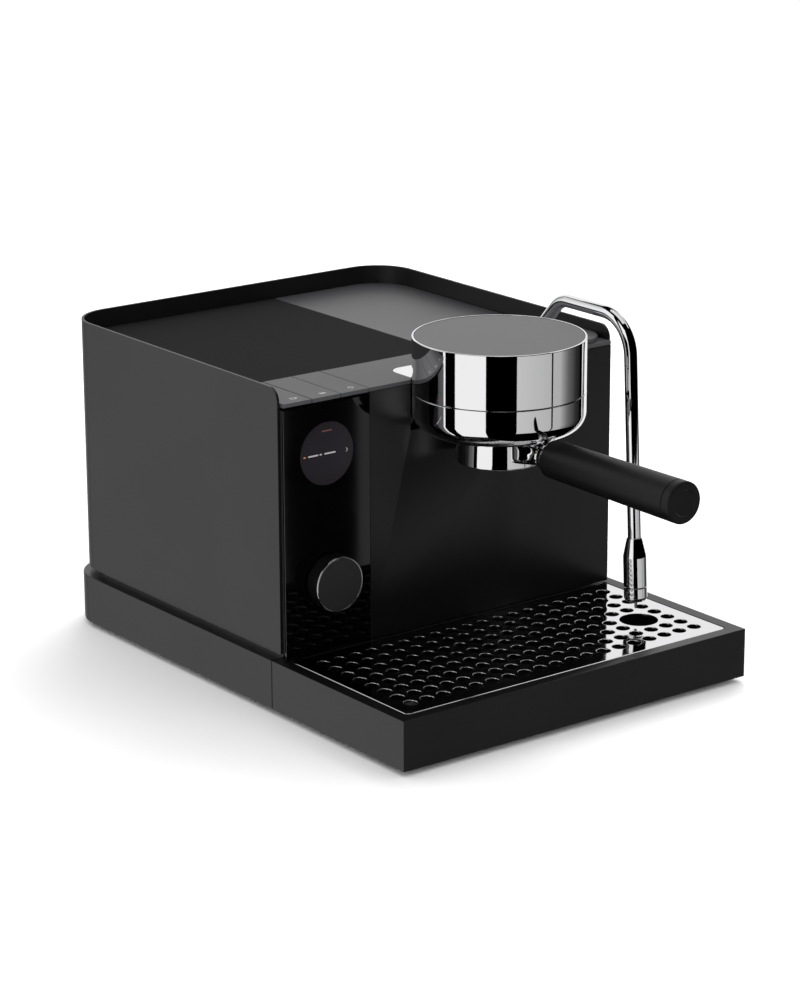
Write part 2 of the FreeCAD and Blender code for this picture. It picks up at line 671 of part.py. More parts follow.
def make_control_glass():
    """Glossy glass in front of the display and behind the knob."""
    glass = box(-HALF_COVER, CONTROL_RIGHT_X, PANEL_Y, PANEL_Y + GLASS_T,
                PANEL_BOTTOM_Z, CONTROL_TOP_Z)
    window = rod(CONTROL_X, PANEL_Y - CUT, DISPLAY_Z, DISPLAY_RADIUS + FIT / 2, GLASS_T + 2 * CUT, Y_AXIS)
    shaft = rod(CONTROL_X, PANEL_Y - CUT, KNOB_Z, KNOB_BUSH_RADIUS + FIT, GLASS_T + 2 * CUT, Y_AXIS)
    return glass.cut(window).cut(shaft)


def make_control_bezel():
    """Plastic carrier behind the glass, with a pocket for the display."""
    front = PANEL_Y + GLASS_T
    body = box(-HALF_COVER, CONTROL_RIGHT_X, front, BEZEL_BACK_Y, SHELL_BOTTOM_Z, CONTROL_TOP_Z)
    pocket = box(-HALF_COVER + BEZEL_WALL, CONTROL_RIGHT_X - BEZEL_WALL, front + BEZEL_WALL,
                 BEZEL_BACK_Y + CUT, SHELL_BOTTOM_Z + BEZEL_WALL, CONTROL_TOP_Z - BEZEL_WALL)
    window = rod(CONTROL_X, front - CUT, DISPLAY_Z, DISPLAY_RADIUS + FIT / 2, BEZEL_WALL + 2 * CUT, Y_AXIS)
    shaft = rod(CONTROL_X, front - CUT, KNOB_Z, KNOB_BUSH_RADIUS + FIT / 2, BEZEL_WALL + 2 * CUT, Y_AXIS)
    return body.cut(pocket).cut(window).cut(shaft)


def make_display_lens():
    return rod(CONTROL_X, PANEL_Y + FIT / 4, DISPLAY_Z, DISPLAY_RADIUS, GLASS_T, Y_AXIS)


def make_display_module():
    """Round panel behind the lens on a small board."""
    front = PANEL_Y + FIT / 4 + GLASS_T
    panel = rod(CONTROL_X, front, DISPLAY_Z, DISPLAY_RADIUS - DISPLAY_PANEL_INSET, BEZEL_WALL + CUT, Y_AXIS)
    board_y = PANEL_Y + GLASS_T + BEZEL_WALL + FIT
    half = DISPLAY_RADIUS + DISPLAY_BOARD_MARGIN
    board = box(CONTROL_X - half, CONTROL_X + half, board_y, board_y + BOARD_T,
                DISPLAY_Z - half, DISPLAY_Z + half)
    return panel.fuse(board).removeSplitter()


def neck_outline(grow, z0, z1):
    half = NECK_HALF_WIDTH + grow
    radius = NECK_CORNER_R + grow
    return slab(HEAD_X - half, HEAD_X + half, PANEL_Y, NECK_REAR_Y + grow, z0, z1,
                (0, 0, radius, radius))


def make_top_strip():
    """Flat strip across the front of the top, cut out around the group head."""
    strip = box(CONTROL_RIGHT_X + FIT, HALF_COVER, PANEL_Y, STRIP_REAR_Y, STRIP_Z - STRIP_T, STRIP_Z)
    neck = neck_outline(FIT / 2, STRIP_Z - STRIP_T - CUT, STRIP_Z + CUT)
    socket = rod(WAND_X, WAND_BALL_Y, STRIP_Z - STRIP_T - CUT, WAND_SOCKET_RADIUS, STRIP_T + 2 * CUT)
    return strip.cut(neck).cut(head_clearance()).cut(socket)


def make_neck_plate():
    """Polished plate that fills the strip's cut-out behind the group head."""
    return neck_outline(0.0, STRIP_Z - STRIP_T, STRIP_Z).cut(head_clearance())


def make_cup_deck():
    """Recessed shelf on top of the machine, left of the tank lid."""
    radius = INNER_CORNER_R - FIT
    return slab(-HALF_COVER, DECK_SPLIT_X - FIT / 2, DECK_FRONT_Y, DECK_REAR_Y,
                DECK_Z - DECK_T, DECK_Z, (0, 0, 0, radius))


def make_wand_pad():
    """Raised pad on the strip that carries the steam wand's ball."""
    pad = slab(PAD_LEFT_X, HALF_COVER, PANEL_Y + PAD_FRONT_SETBACK,
               STRIP_REAR_Y - PAD_REAR_SETBACK, STRIP_Z, PAD_TOP_Z,
               (PAD_CORNER_R, PAD_CORNER_R, TANK_CORNER_R, PAD_CORNER_R))
    pad = pad.makeChamfer(PAD_CHAMFER, [e for e in pad.Edges if is_level(e, PAD_TOP_Z)])
    pad = pad.cut(head_clearance())
    return pad.cut(rod(WAND_X, WAND_BALL_Y, STRIP_Z - CUT, WAND_SOCKET_RADIUS, PAD_RISE + 2 * CUT))


def is_level(edge, z):
    return all(abs(vertex.Z - z) < POINT_TOLERANCE for vertex in edge.Vertexes)


def frame_slab(inset, z0, z1):
    radius = INNER_CORNER_R - FRAME_SETBACK - inset
    half = FRAME_HALF - inset
    return slab(-half, half, FRAME_FRONT_Y + inset, FRAME_REAR_Y - inset, z0, z1,
                (0, 0, radius, radius))


def make_frame():
    """Folded steel frame: floor, recess wall, flange, front wall and tank bay wall."""
    skirt_top = SHELL_BOTTOM_Z + FRAME_SKIRT_HEIGHT
    floor = frame_slab(0.0, BASE_TOP_Z, FRAME_FLOOR_Z)
    hollow = frame_slab(FRAME_T, FRAME_FLOOR_Z, skirt_top + CUT)
    skirt = frame_slab(0.0, FRAME_FLOOR_Z, skirt_top).cut(hollow)
    flange = slab(-HALF_INNER, HALF_INNER, FRAME_FRONT_Y + FRAME_T, INNER_REAR_Y,
                  skirt_top - FRAME_T, skirt_top, (0, 0, INNER_CORNER_R, INNER_CORNER_R))
    inside = FRAME_HALF - FRAME_T
    front = box(-inside, inside, FRAME_FRONT_Y, FRAME_FRONT_Y + FRAME_T, FRAME_FLOOR_Z, FRAME_TOP_Z)
    bay = box(FRAME_WALL_X, FRAME_WALL_X + FRAME_T, TANK_FRONT_Y - TANK_FIT, FRAME_REAR_Y - FRAME_T,
              FRAME_FLOOR_Z, FRAME_TOP_Z)
    frame = floor.fuse([skirt, flange.cut(hollow), front, bay])
    y0 = FRAME_FRONT_Y - 1
    y1 = FRAME_FRONT_Y + FRAME_T + 1
    arm_hole = box(HEAD_X - ARM_HALF_WIDTH - FIT, HEAD_X + ARM_HALF_WIDTH + FIT, y0, y1,
                   HEAD_BOTTOM_Z, FRAME_TOP_Z + CUT)
    control_hole = box(-inside - CUT, CONTROL_RIGHT_X - FIT, y0, y1, SHELL_BOTTOM_Z + FRAME_HOLE_RISE,
                       FRAME_TOP_Z + CUT)
    wand_hole = box(WAND_X - WAND_SOCKET_RADIUS - FIT, WAND_X + WAND_SOCKET_RADIUS + FIT, y0, y1,
                    STRIP_Z - 2 * WAND_SOCKET_RADIUS, FRAME_TOP_Z + CUT)
    inlet_x = INLET_HALF_WIDTH + FRAME_INLET_MARGIN
    inlet_z = INLET_HALF_HEIGHT + FRAME_INLET_MARGIN
    inlet = box(INLET_X - inlet_x, INLET_X + inlet_x, FRAME_REAR_Y - FRAME_INLET_DEPTH,
                INNER_REAR_Y + CUT, INLET_Z - inlet_z, INLET_Z + inlet_z)
    frame = frame.cut(group([arm_hole, control_hole, wand_hole, inlet, head_clearance()]))
    return frame.removeSplitter()


# ---------------------------------------------------------------- controls
def key_edges(index):
    pitch = CONTROL_WIDTH / KEY_COUNT
    left = -HALF_COVER + index * pitch
    return left + KEY_GAP / 2, left + pitch - KEY_GAP / 2


def make_key(index):
    """One long key of the top row, hinged on an axle near its rear end."""
    x0, x1 = key_edges(index)
    cap = box(x0, x1, PANEL_Y, STRIP_REAR_Y, STRIP_Z - STRIP_T, STRIP_Z)
    middle = (x0 + x1) / 2
    reach = KEY_EYE_HALF_LENGTH
    eye = rod(middle - reach, KEY_AXLE_Y, KEY_AXLE_Z, KEY_EYE_RADIUS, 2 * reach, X_AXIS)
    web = box(middle - reach, middle + reach, KEY_AXLE_Y - KEY_EYE_RADIUS, KEY_AXLE_Y + KEY_EYE_RADIUS,
              KEY_AXLE_Z, STRIP_Z - STRIP_T)
    bore = rod(middle - reach - CUT, KEY_AXLE_Y, KEY_AXLE_Z, KEY_AXLE_RADIUS + RUNNING_FIT,
               2 * (reach + CUT), X_AXIS)
    return cap.fuse([eye, web]).cut(bore).removeSplitter()


def make_key_axle():
    x0, _ = key_edges(0)
    _, x1 = key_edges(KEY_COUNT - 1)
    return rod(x0, KEY_AXLE_Y, KEY_AXLE_Z, KEY_AXLE_RADIUS, x1 - x0, X_AXIS)


def make_key_board():
    """Board under the keys with one push switch for each key."""
    x0, _ = key_edges(0)
    _, x1 = key_edges(KEY_COUNT - 1)
    board = box(x0 + KEY_BOARD_INSET, x1 - KEY_BOARD_INSET, BEZEL_BACK_Y + SEAM + SEAM,
                KEY_AXLE_Y - KEY_BOARD_REAR_GAP, KEY_BOARD_Z - BOARD_T, KEY_BOARD_Z)
    switches = []
    for index in range(KEY_COUNT):
        left, right = key_edges(index)
        x = (left + right) / 2
        body_top = SWITCH_TOP_Z - SWITCH_STEM
        switches.append(box(x - SWITCH_HALF, x + SWITCH_HALF, SWITCH_Y - SWITCH_HALF,
                            SWITCH_Y + SWITCH_HALF, KEY_BOARD_Z, body_top))
        switches.append(rod(x, SWITCH_Y, body_top, SWITCH_STEM_RADIUS, SWITCH_STEM))
    return board.fuse(switches).removeSplitter()


def make_knob_encoder():
    """Rotary encoder: a body behind the bezel and a bush through the glass."""
    body_y = PANEL_Y + GLASS_T + BEZEL_WALL + FIT
    body = box(CONTROL_X - ENCODER_HALF, CONTROL_X + ENCODER_HALF, body_y, body_y + ENCODER_DEPTH,
               KNOB_Z - ENCODER_HALF, KNOB_Z + ENCODER_HALF)
    bush = rod(CONTROL_X, PANEL_Y - KNOB_BUSH_RISE, KNOB_Z, KNOB_BUSH_RADIUS, body_y - PANEL_Y + CUT, Y_AXIS)
    bore = rod(CONTROL_X, PANEL_Y - CUT, KNOB_Z, KNOB_SHAFT_RADIUS + RUNNING_FIT,
               body_y - PANEL_Y + ENCODER_DEPTH, Y_AXIS)
    return body.fuse(bush).cut(bore).removeSplitter()


def make_knob_shaft():
    """Plunger of the encoder; it moves in with the knob and does not turn."""
    start = KNOB_FACE_Y + KNOB_SHAFT_FRONT
    end = PANEL_Y + GLASS_T + BEZEL_WALL + ENCODER_DEPTH - KNOB_PUSH - ENCODER_END_GAP
    return rod(CONTROL_X, start, KNOB_Z, KNOB_SHAFT_RADIUS, end - start, Y_AXIS)


def turned_knob(profile, radii=0.0):
    """A turned shape about the knob's axis; heights run from the face backwards."""
    shape = turned(profile, radii)
    shape.rotate(V(0, 0, 0), X_AXIS, -90)
    shape.translate(V(CONTROL_X, KNOB_FACE_Y, KNOB_Z))
    return shape


def make_knob():
    """Knob body: a deep cap with a blind bore for the shaft and a seat for its face."""
    bore = KNOB_SHAFT_RADIUS + RUNNING_FIT
    seat = KNOB_RADIUS - KNOB_RIM
    bore_start = KNOB_SHAFT_FRONT - FIT
    profile = [(0, KNOB_FACE_T), (seat, KNOB_FACE_T), (seat, 0), (KNOB_RADIUS, 0),
               (KNOB_RADIUS, KNOB_DEPTH), (bore, KNOB_DEPTH), (bore, bore_start), (0, bore_start)]
    return turned_knob(profile, [0, 0, 0, KNOB_EDGE_R, KNOB_BACK_R, 0, 0, 0])


def make_knob_face():
    radius = KNOB_RADIUS - KNOB_RIM - RUNNING_FIT
    return turned_knob([(0, KNOB_FACE_SINK), (radius, KNOB_FACE_SINK), (radius, KNOB_FACE_T),
                        (0, KNOB_FACE_T)])


# ---------------------------------------------------------------- group head
def make_head_cap():
    top = HEAD_TOP_Z - HEAD_CAP_SINK
    radius = HEAD_RADIUS - HEAD_RIM - HEAD_CAP_GAP
    return turned_head([(0, top - HEAD_CAP_T), (radius, top - HEAD_CAP_T), (radius, top), (0, top)])


def make_head_upper():
    """Upper chrome drum with a narrow polished rim around the cap."""
    r = HEAD_RADIUS
    inner = r - HEAD_WALL - HEAD_FIT
    low = HEAD_SEAM_Z + HEAD_SEAM
    lip = r - HEAD_RIM
    ledge = HEAD_TOP_Z - HEAD_CAP_SINK - HEAD_CAP_T
    profile = [(inner, low), (r, low), (r, HEAD_TOP_Z), (lip, HEAD_TOP_Z),
               (lip, ledge), (inner, ledge)]
    return turned_head(profile, [0, EDGE_R, EDGE_R, 0, 0, 0])


def make_head_lower():
    """Lower chrome bowl, rounded at its foot, open for the portafilter."""
    r = HEAD_RADIUS
    mouth = BLOCK_RADIUS + FIT
    bottom = HEAD_BOTTOM_Z
    profile = [(r - HEAD_WALL, HEAD_SEAM_Z), (r, HEAD_SEAM_Z), (r, bottom), (mouth, bottom),
               (mouth, bottom + HEAD_WALL), (r - HEAD_WALL, bottom + HEAD_WALL)]
    bowl = turned_head(profile, [0, 0, HEAD_FILLET, 0, 0, HEAD_FILLET - HEAD_WALL])
    gap = ARM_HALF_WIDTH + FIT
    flat_rear_y = HEAD_Y + HEAD_RADIUS - HEAD_FILLET - ARM_SLOT_MARGIN
    return bowl.cut(box(HEAD_X - gap, HEAD_X + gap, flat_rear_y, HEAD_Y + HEAD_RADIUS + CUT,
                        HEAD_BOTTOM_Z - CUT, HEAD_SEAM_Z + CUT))


def wedge(angle, half_angle, reach, z0, z1):
    """A wedge about the head's axis; angle 0 points along +x."""
    points = [V(0, 0, z0)]
    for step in (-1, 0, 1):
        turn = math.radians(angle + step * half_angle)
        points.append(V(reach * math.cos(turn), reach * math.sin(turn), z0))
    face = Part.Face(Part.makePolygon(points + [points[0]]))
    shape = face.extrude(V(0, 0, z1 - z0))
    shape.translate(V(HEAD_X, HEAD_Y, 0))
    return shape


def make_group_block():
    """Brew block: bayonet ledge, lug channel, gasket groove and water way."""
    ledge_r = RING_RADIUS + PF_FIT
    channel_r = ledge_r + LUG_REACH
    channel_top = GASKET_BOTTOM_Z - CHANNEL_STEP
    groove_top = GASKET_BOTTOM_Z + GASKET_HEIGHT
    profile = [(0, GASKET_BOTTOM_Z), (GASKET_INNER, GASKET_BOTTOM_Z), (GASKET_INNER, groove_top),
               (GASKET_OUTER, groove_top), (GASKET_OUTER, channel_top), (channel_r, channel_top),
               (channel_r, LEDGE_TOP_Z), (ledge_r, LEDGE_TOP_Z), (ledge_r, HEAD_BOTTOM_Z),
               (BLOCK_RADIUS, HEAD_BOTTOM_Z), (BLOCK_RADIUS, BLOCK_TOP_Z), (0, BLOCK_TOP_Z)]
    block = turned_head(profile)
    entries = []
    for side in (0, 180):
        slot = wedge(side - PF_UNLOCK_ANGLE, LUG_HALF_ANGLE + LUG_ENTRY_MARGIN, 2 * BLOCK_RADIUS,
                     HEAD_BOTTOM_Z - CUT, LEDGE_TOP_Z + LEDGE_OVERLAP)
        ring = rod(HEAD_X, HEAD_Y, HEAD_BOTTOM_Z - CUT, channel_r,
                   LEDGE_TOP_Z - HEAD_BOTTOM_Z + CUT + LEDGE_OVERLAP)
        entries.append(slot.common(ring))
    water_way = rod(HEAD_X, HEAD_Y, GASKET_BOTTOM_Z - CUT, WATER_WAY_RADIUS,
                    BLOCK_TOP_Z - GASKET_BOTTOM_Z - WATER_WAY_TOP_GAP)
    return block.cut(group(entries)).cut(water_way)


def make_group_gasket():
    low = GASKET_BOTTOM_Z
    return turned_head([(GASKET_INNER, low), (GASKET_OUTER, low), (GASKET_OUTER, low + GASKET_HEIGHT),
                        (GASKET_INNER, low + GASKET_HEIGHT)])


def make_shower_screen():
    """Perforated disc that spreads the water, with a rim up to the block."""
    top = GASKET_BOTTOM_Z
    low = top - SCREEN_DEPTH
    r = SCREEN_RADIUS
    disc = turned_head([(0, low), (r, low), (r, top), (r - SCREEN_T, top),
                        (r - SCREEN_T, low + SCREEN_T), (0, low + SCREEN_T)])
    holes = []
    for x, y in hole_rings(r - SCREEN_HOLE_MARGIN, SCREEN_HOLE_RINGS, SCREEN_HOLE_PITCH):
        if math.hypot(x, y) > SCREW_RADIUS:
            holes.append(rod(HEAD_X + x, HEAD_Y + y, low - CUT, SCREEN_HOLE_RADIUS, SCREEN_T + 2 * CUT))
    bolt = rod(HEAD_X, HEAD_Y, low - CUT, SCREEN_BOLT_RADIUS + 2 * RUNNING_FIT, SCREEN_T + 2 * CUT)
    return disc.cut(group(holes + [bolt]))


def make_screen_screw():
    low = GASKET_BOTTOM_Z - SCREEN_DEPTH
    head = rod(HEAD_X, HEAD_Y, low - SCREW_HEAD, SCREW_RADIUS, SCREW_HEAD)
    shank = rod(HEAD_X, HEAD_Y, low, SCREEN_BOLT_RADIUS, SCREEN_BOLT_LENGTH)
    slot = box(HEAD_X - SCREW_RADIUS, HEAD_X + SCREW_RADIUS, HEAD_Y - SCREW_SLOT / 2,
               HEAD_Y + SCREW_SLOT / 2, low - SCREW_HEAD - CUT, low - SCREW_HEAD + SCREW_SLOT_DEPTH)
    return head.fuse(shank).cut(slot).removeSplitter()


def make_group_arm():
    """Cast arm from the frame to the head; its disc carries both chrome covers."""
    disc_r = HEAD_RADIUS - HEAD_WALL - ARM_PLATE_GAP
    disc_top = ARM_PLATE_Z + ARM_PLATE_T
    disc = turned_head([(BLOCK_RADIUS, ARM_PLATE_Z), (disc_r, ARM_PLATE_Z), (disc_r, disc_top),
                        (BLOCK_RADIUS, disc_top)])
    beam = box(HEAD_X - ARM_HALF_WIDTH, HEAD_X + ARM_HALF_WIDTH, HEAD_Y + BLOCK_RADIUS - ARM_ROOT,
               ARM_REAR_Y, HEAD_BOTTOM_Z + HEAD_WALL + ARM_FLOOR_GAP, ARM_TOP_Z)
    core = rod(HEAD_X, HEAD_Y, HEAD_BOTTOM_Z - CUT, BLOCK_RADIUS, BLOCK_TOP_Z - HEAD_BOTTOM_Z + 2 * CUT)
    return disc.fuse(beam).cut(core).removeSplitter()


# ---------------------------------------------------------------- portafilter
def ring_outside():
    """Half section of the ring's outer form, filled to the axis."""
    return [(0, RING_BOTTOM_Z), (RING_FOOT_RADIUS, RING_BOTTOM_Z), (RING_RADIUS, HEAD_BOTTOM_Z - RING_STEP),
            (RING_RADIUS, RING_TOP_Z), (0, RING_TOP_Z)]


def make_pf_ring():
    """Open-bottomed filter holder with two bayonet lugs."""
    bore = rod(HEAD_X, HEAD_Y, RING_BOTTOM_Z - CUT, BASKET_RADIUS + BASKET_BORE_GAP,
               RING_TOP_Z - RING_BOTTOM_Z + 2 * CUT)
    ring = turned_head(ring_outside(), [0, RING_FOOT_R, 0, RING_TOP_R, 0]).cut(bore)
    lug_r = RING_RADIUS + LUG_REACH - PF_FIT
    root_r = RING_RADIUS - CUT
    collar = turned_head([(root_r, LUG_BOTTOM_Z), (lug_r, LUG_BOTTOM_Z), (lug_r, LUG_TOP_Z),
                          (root_r, LUG_TOP_Z)])
    lugs = []
    for side in (0, 180):
        lugs.append(collar.common(wedge(side, LUG_HALF_ANGLE, 2 * BLOCK_RADIUS, LUG_BOTTOM_Z, LUG_TOP_Z)))
    return ring.fuse(lugs).removeSplitter()


def make_pf_basket():
    """Filter basket: a thin cup with a turned-out rim and a perforated floor."""
    r = BASKET_RADIUS
    rim = r + BASKET_RIM
    profile = [(0, BASKET_BOTTOM_Z), (r, BASKET_BOTTOM_Z), (r, RING_TOP_Z), (rim, RING_TOP_Z),
               (rim, BASKET_TOP_Z), (r - BASKET_WALL, BASKET_TOP_Z),
               (r - BASKET_WALL, BASKET_BOTTOM_Z + BASKET_WALL), (0, BASKET_BOTTOM_Z + BASKET_WALL)]
    cup = turned_head(profile, [0, BASKET_FOOT_R, 0, BASKET_LIP_R, BASKET_LIP_R, 0,
                                BASKET_FOOT_R - BASKET_WALL, 0])
    places = hole_rings(r - BASKET_HOLE_MARGIN, BASKET_HOLE_RINGS, BASKET_HOLE_PITCH)
    holes = [rod(HEAD_X + x, HEAD_Y + y, BASKET_BOTTOM_Z - CUT, BASKET_HOLE_RADIUS, BASKET_WALL + 2 * CUT)
             for x, y in places]
    return cup.cut(group(holes))


def turned_handle(profile, radii=0.0):
    """A turned shape about the handle's axis; heights are distances towards the front."""
    shape = turned(profile, radii)
    shape.rotate(V(0, 0, 0), X_AXIS, 90)
    shape.translate(V(HEAD_X, 0, HANDLE_Z))
    return shape


def make_pf_neck():
    """Chrome stem, flat and wide at the ring and round at the ferrule."""
    rear = HEAD_Y - RING_RADIUS + STEM_ROOT
    front = GRIP_REAR_Y + FERRULE_LENGTH
    corners = [V(HEAD_X - STEM_HALF_WIDTH, rear, HANDLE_Z - STEM_LOW),
               V(HEAD_X + STEM_HALF_WIDTH, rear, HANDLE_Z - STEM_LOW),
               V(HEAD_X + STEM_HALF_WIDTH, rear, HANDLE_Z + STEM_HIGH),
               V(HEAD_X - STEM_HALF_WIDTH, rear, HANDLE_Z + STEM_HIGH)]
    wide = rounded_wire(corners, STEM_EDGE_R)
    end = Part.Wire(Part.makeCircle(STEM_RADIUS, V(HEAD_X, front, HANDLE_Z), V(0, -1, 0)))
    stem = Part.makeLoft([wide, end], True, True)
    outside = turned_head(ring_outside(), 0.0)
    bore = rod(HEAD_X, front - CUT, HANDLE_Z, HANDLE_ROD_RADIUS, HANDLE_ROD_GRASP + CUT, Y_AXIS)
    return stem.cut(outside).cut(bore)


def make_pf_ferrule():
    """Chrome collar between stem and grip, flared only where it clears the head."""
    rear = GRIP_REAR_Y + FERRULE_LENGTH
    front = GRIP_REAR_Y
    inner = HANDLE_ROD_RADIUS
    swell = STEM_RADIUS + FERRULE_SWELL
    flare = STEM_RADIUS + FERRULE_FLARE
    return turned_handle([(inner, -rear), (STEM_RADIUS + FERRULE_STEP, -rear),
                          (swell, -front - FERRULE_SWELL_START), (swell, -front - FERRULE_FLARE_START),
                          (flare, -front - FERRULE_LIP), (flare, -front), (inner, -front)],
                         [0, SOFT_EDGE_R, 2 * EDGE_R, 2 * EDGE_R, 0, 0, 0])


def make_pf_rod():
    """Steel rod that joins stem, ferrule and grip."""
    rear = GRIP_REAR_Y + FERRULE_LENGTH + HANDLE_ROD_GRASP
    front = GRIP_FRONT_Y + END_CAP_LENGTH + HANDLE_ROD_END
    return rod(HEAD_X, front, HANDLE_Z, HANDLE_ROD_RADIUS, rear - front, Y_AXIS)


def make_pf_grip():
    front = GRIP_FRONT_Y + END_CAP_LENGTH
    r0 = GRIP_REAR_RADIUS
    r1 = GRIP_RADIUS
    grip = turned_handle([(0, -GRIP_REAR_Y), (r0, -GRIP_REAR_Y), (r1, -front), (0, -front)],
                         [0, GRIP_EDGE_R, 0, 0])
    return grip.cut(make_pf_rod())


def make_pf_end_cap():
    """Plain end cap of the grip with a shallow round recess."""
    rear = GRIP_FRONT_Y + END_CAP_LENGTH - END_CAP_SEAM
    r = GRIP_RADIUS
    recess_r = END_CAP_RECESS_PART * r
    recess_y = -GRIP_FRONT_Y - END_CAP_RECESS
    return turned_handle([(0, -rear), (r, -rear), (r, -GRIP_FRONT_Y), (recess_r, -GRIP_FRONT_Y),
                          (recess_r, recess_y), (0, recess_y)],
                         [0, EDGE_R, END_CAP_EDGE_R, 0, 0, 0])


# ---------------------------------------------------------------- steam wand
def wand_line_y(z):
    """y of the falling tube's axis at a height; the tip leans to the front."""
    return WAND_DROP_Y - (WAND_RUN_Z - z) * math.tan(math.radians(WAND_LEAN))


def wand_route():
    rise = math.radians(WAND_RISE_ANGLE)
    top_y = WAND_BALL_Y - (WAND_RUN_Z - WAND_BALL_Z) / math.tan(rise)
    return [V(WAND_X, WAND_BALL_Y, WAND_BALL_Z), V(WAND_X, top_y, WAND_RUN_Z),
            V(WAND_X, WAND_DROP_Y, WAND_RUN_Z), V(WAND_X, wand_line_y(WAND_SLEEVE_Z), WAND_SLEEVE_Z)]


def turned_wand(profile, radii=0.0):
    """A turned shape about the falling tube; heights run down from the sleeve's top."""
    top = WAND_SLEEVE_Z + WAND_CONE_LENGTH
    shape = turned([(r, -drop) for r, drop in profile], radii)
    shape.rotate(V(0, 0, 0), X_AXIS, -WAND_LEAN)
    shape.translate(V(WAND_X, wand_line_y(top), top))
    return shape


def make_wand_tube():
    route = wand_route()
    ball = Part.makeSphere(WAND_BALL_RADIUS, route[0])
    tube = tube_along(route, WAND_RADIUS, [0, WAND_TOP_BEND, WAND_FRONT_BEND, 0])
    return ball.fuse(tube).removeSplitter()


def wand_sleeve_drop():
    return WAND_CONE_LENGTH + WAND_SLEEVE_Z - WAND_TIP_Z - WAND_TIP_LENGTH


def make_wand_sleeve():
    """Conical shoulder and straight sleeve over the end of the tube."""
    low = wand_sleeve_drop()
    bore = WAND_RADIUS
    return turned_wand([(bore, 0), (bore + WAND_SHOULDER, 0), (WAND_SLEEVE_RADIUS, WAND_CONE_LENGTH),
                        (WAND_SLEEVE_RADIUS, low), (bore, low)], [0, 0, WAND_CONE_R, WAND_SLEEVE_EDGE_R, 0])


def make_wand_tip():
    """Screwed steam tip with a rounded end and a hole for the probe."""
    top = wand_sleeve_drop() + WAND_TIP_SEAM
    end = top + WAND_TIP_LENGTH
    r = WAND_SLEEVE_RADIUS
    return turned_wand([(PROBE_RADIUS, top), (r, top), (r, end), (PROBE_RADIUS, end)],
                       [0, EDGE_R, WAND_TIP_R, 0])


def make_wand_probe():
    top = wand_sleeve_drop() + PROBE_ROOT
    end = top + WAND_TIP_LENGTH + PROBE_LENGTH
    return turned_wand([(0, top), (PROBE_RADIUS, top), (PROBE_RADIUS, end), (0, end)],
                       [0, 0, PROBE_END_R, 0])


def make_wand_socket():
    """Fixed cup in the strip around the wand's ball."""
    low = STRIP_Z - SOCKET_DEPTH
    top = PAD_TOP_Z + SOCKET_RISE
    wall = WAND_SOCKET_RADIUS - SOCKET_GAP
    cup = turned([(0, low), (wall, low), (wall, top), (0, top)], [0, 0, SOCKET_EDGE_R, 0])
    cup.translate(V(WAND_X, WAND_BALL_Y, 0))
    ball = Part.makeSphere(WAND_BALL_RADIUS + PF_FIT, V(WAND_X, WAND_BALL_Y, WAND_BALL_Z))
    mouth = rod(WAND_X, WAND_BALL_Y, WAND_BALL_Z, WAND_BALL_RADIUS + PF_FIT, SOCKET_DEPTH)
    return cup.cut(ball.fuse(mouth))


# ---------------------------------------------------------------- water tank
def tank_slab(inset, z0, z1):
    radii = [max(TANK_CORNER_R - inset, TANK_CORNER_LEAST_R)] * 4
    radii[2] = TANK_REAR_CORNER_R - inset
    return slab(TANK_LEFT_X + inset, TANK_RIGHT_X - inset, TANK_FRONT_Y + inset,
                TANK_REAR_Y - inset, z0, z1, radii)


def tank_outlet():
    return TANK_LEFT_X + VALVE_SIDE_INSET, TANK_FRONT_Y + VALVE_FRONT_INSET


def make_water_tank():
    """Removable tank with an outlet in its floor."""
    body = tank_slab(0.0, TANK_BOTTOM_Z, TANK_TOP_Z)
    hollow = tank_slab(TANK_WALL, TANK_BOTTOM_Z + TANK_WALL, TANK_TOP_Z + CUT)
    x, y = tank_outlet()
    outlet = rod(x, y, TANK_BOTTOM_Z - CUT, VALVE_RADIUS - VALVE_NECK,
                 TANK_WALL + 2 * CUT)
    return body.cut(hollow).cut(outlet)


def make_tank_lid():
    """Flat lid level with the cup deck, with a locating rib that drops into the tank."""
    low = DECK_Z - LID_T
    radius = INNER_CORNER_R - FIT
    lid = slab(DECK_SPLIT_X + FIT / 2, HALF_COVER, DECK_FRONT_Y, DECK_REAR_Y, low, DECK_Z,
               (0, 0, radius, 0))
    rib_inset = TANK_WALL + FIT
    rib = tank_slab(rib_inset, low - LID_RIB, low)
    rib = rib.cut(tank_slab(rib_inset + LID_RIB_T, low - LID_RIB - CUT, low + CUT))
    return lid.fuse(rib).removeSplitter()


def make_tank_valve():
    """Spring valve under the tank: a neck that stands in the seat below."""
    x, y = tank_outlet()
    low = TANK_BOTTOM_Z - VALVE_HEIGHT
    top = TANK_BOTTOM_Z + TANK_WALL
    neck = VALVE_RADIUS - VALVE_NECK
    profile = [(VALVE_BORE, low), (VALVE_RADIUS, low), (VALVE_RADIUS, TANK_BOTTOM_Z),
               (neck, TANK_BOTTOM_Z), (neck, top), (VALVE_BORE, top)]
    valve = turned(profile, [0, SOFT_EDGE_R, 0, 0, 0, 0])
    valve.translate(V(x, y, 0))
    return valve


def make_tank_seat():
    """Cup on the frame floor that takes the tank's valve."""
    x, y = tank_outlet()
    r = VALVE_RADIUS + SEAT_GAP
    top = TANK_BOTTOM_Z - SEAT_CLEARANCE
    floor = TANK_BOTTOM_Z - VALVE_HEIGHT - SEAT_CLEARANCE
    seat = turned([(0, FRAME_FLOOR_Z), (r + SEAT_WALL, FRAME_FLOOR_Z), (r + SEAT_WALL, top), (r, top),
                   (r, floor), (0, floor)])
    seat.translate(V(x, y, 0))
    return seat


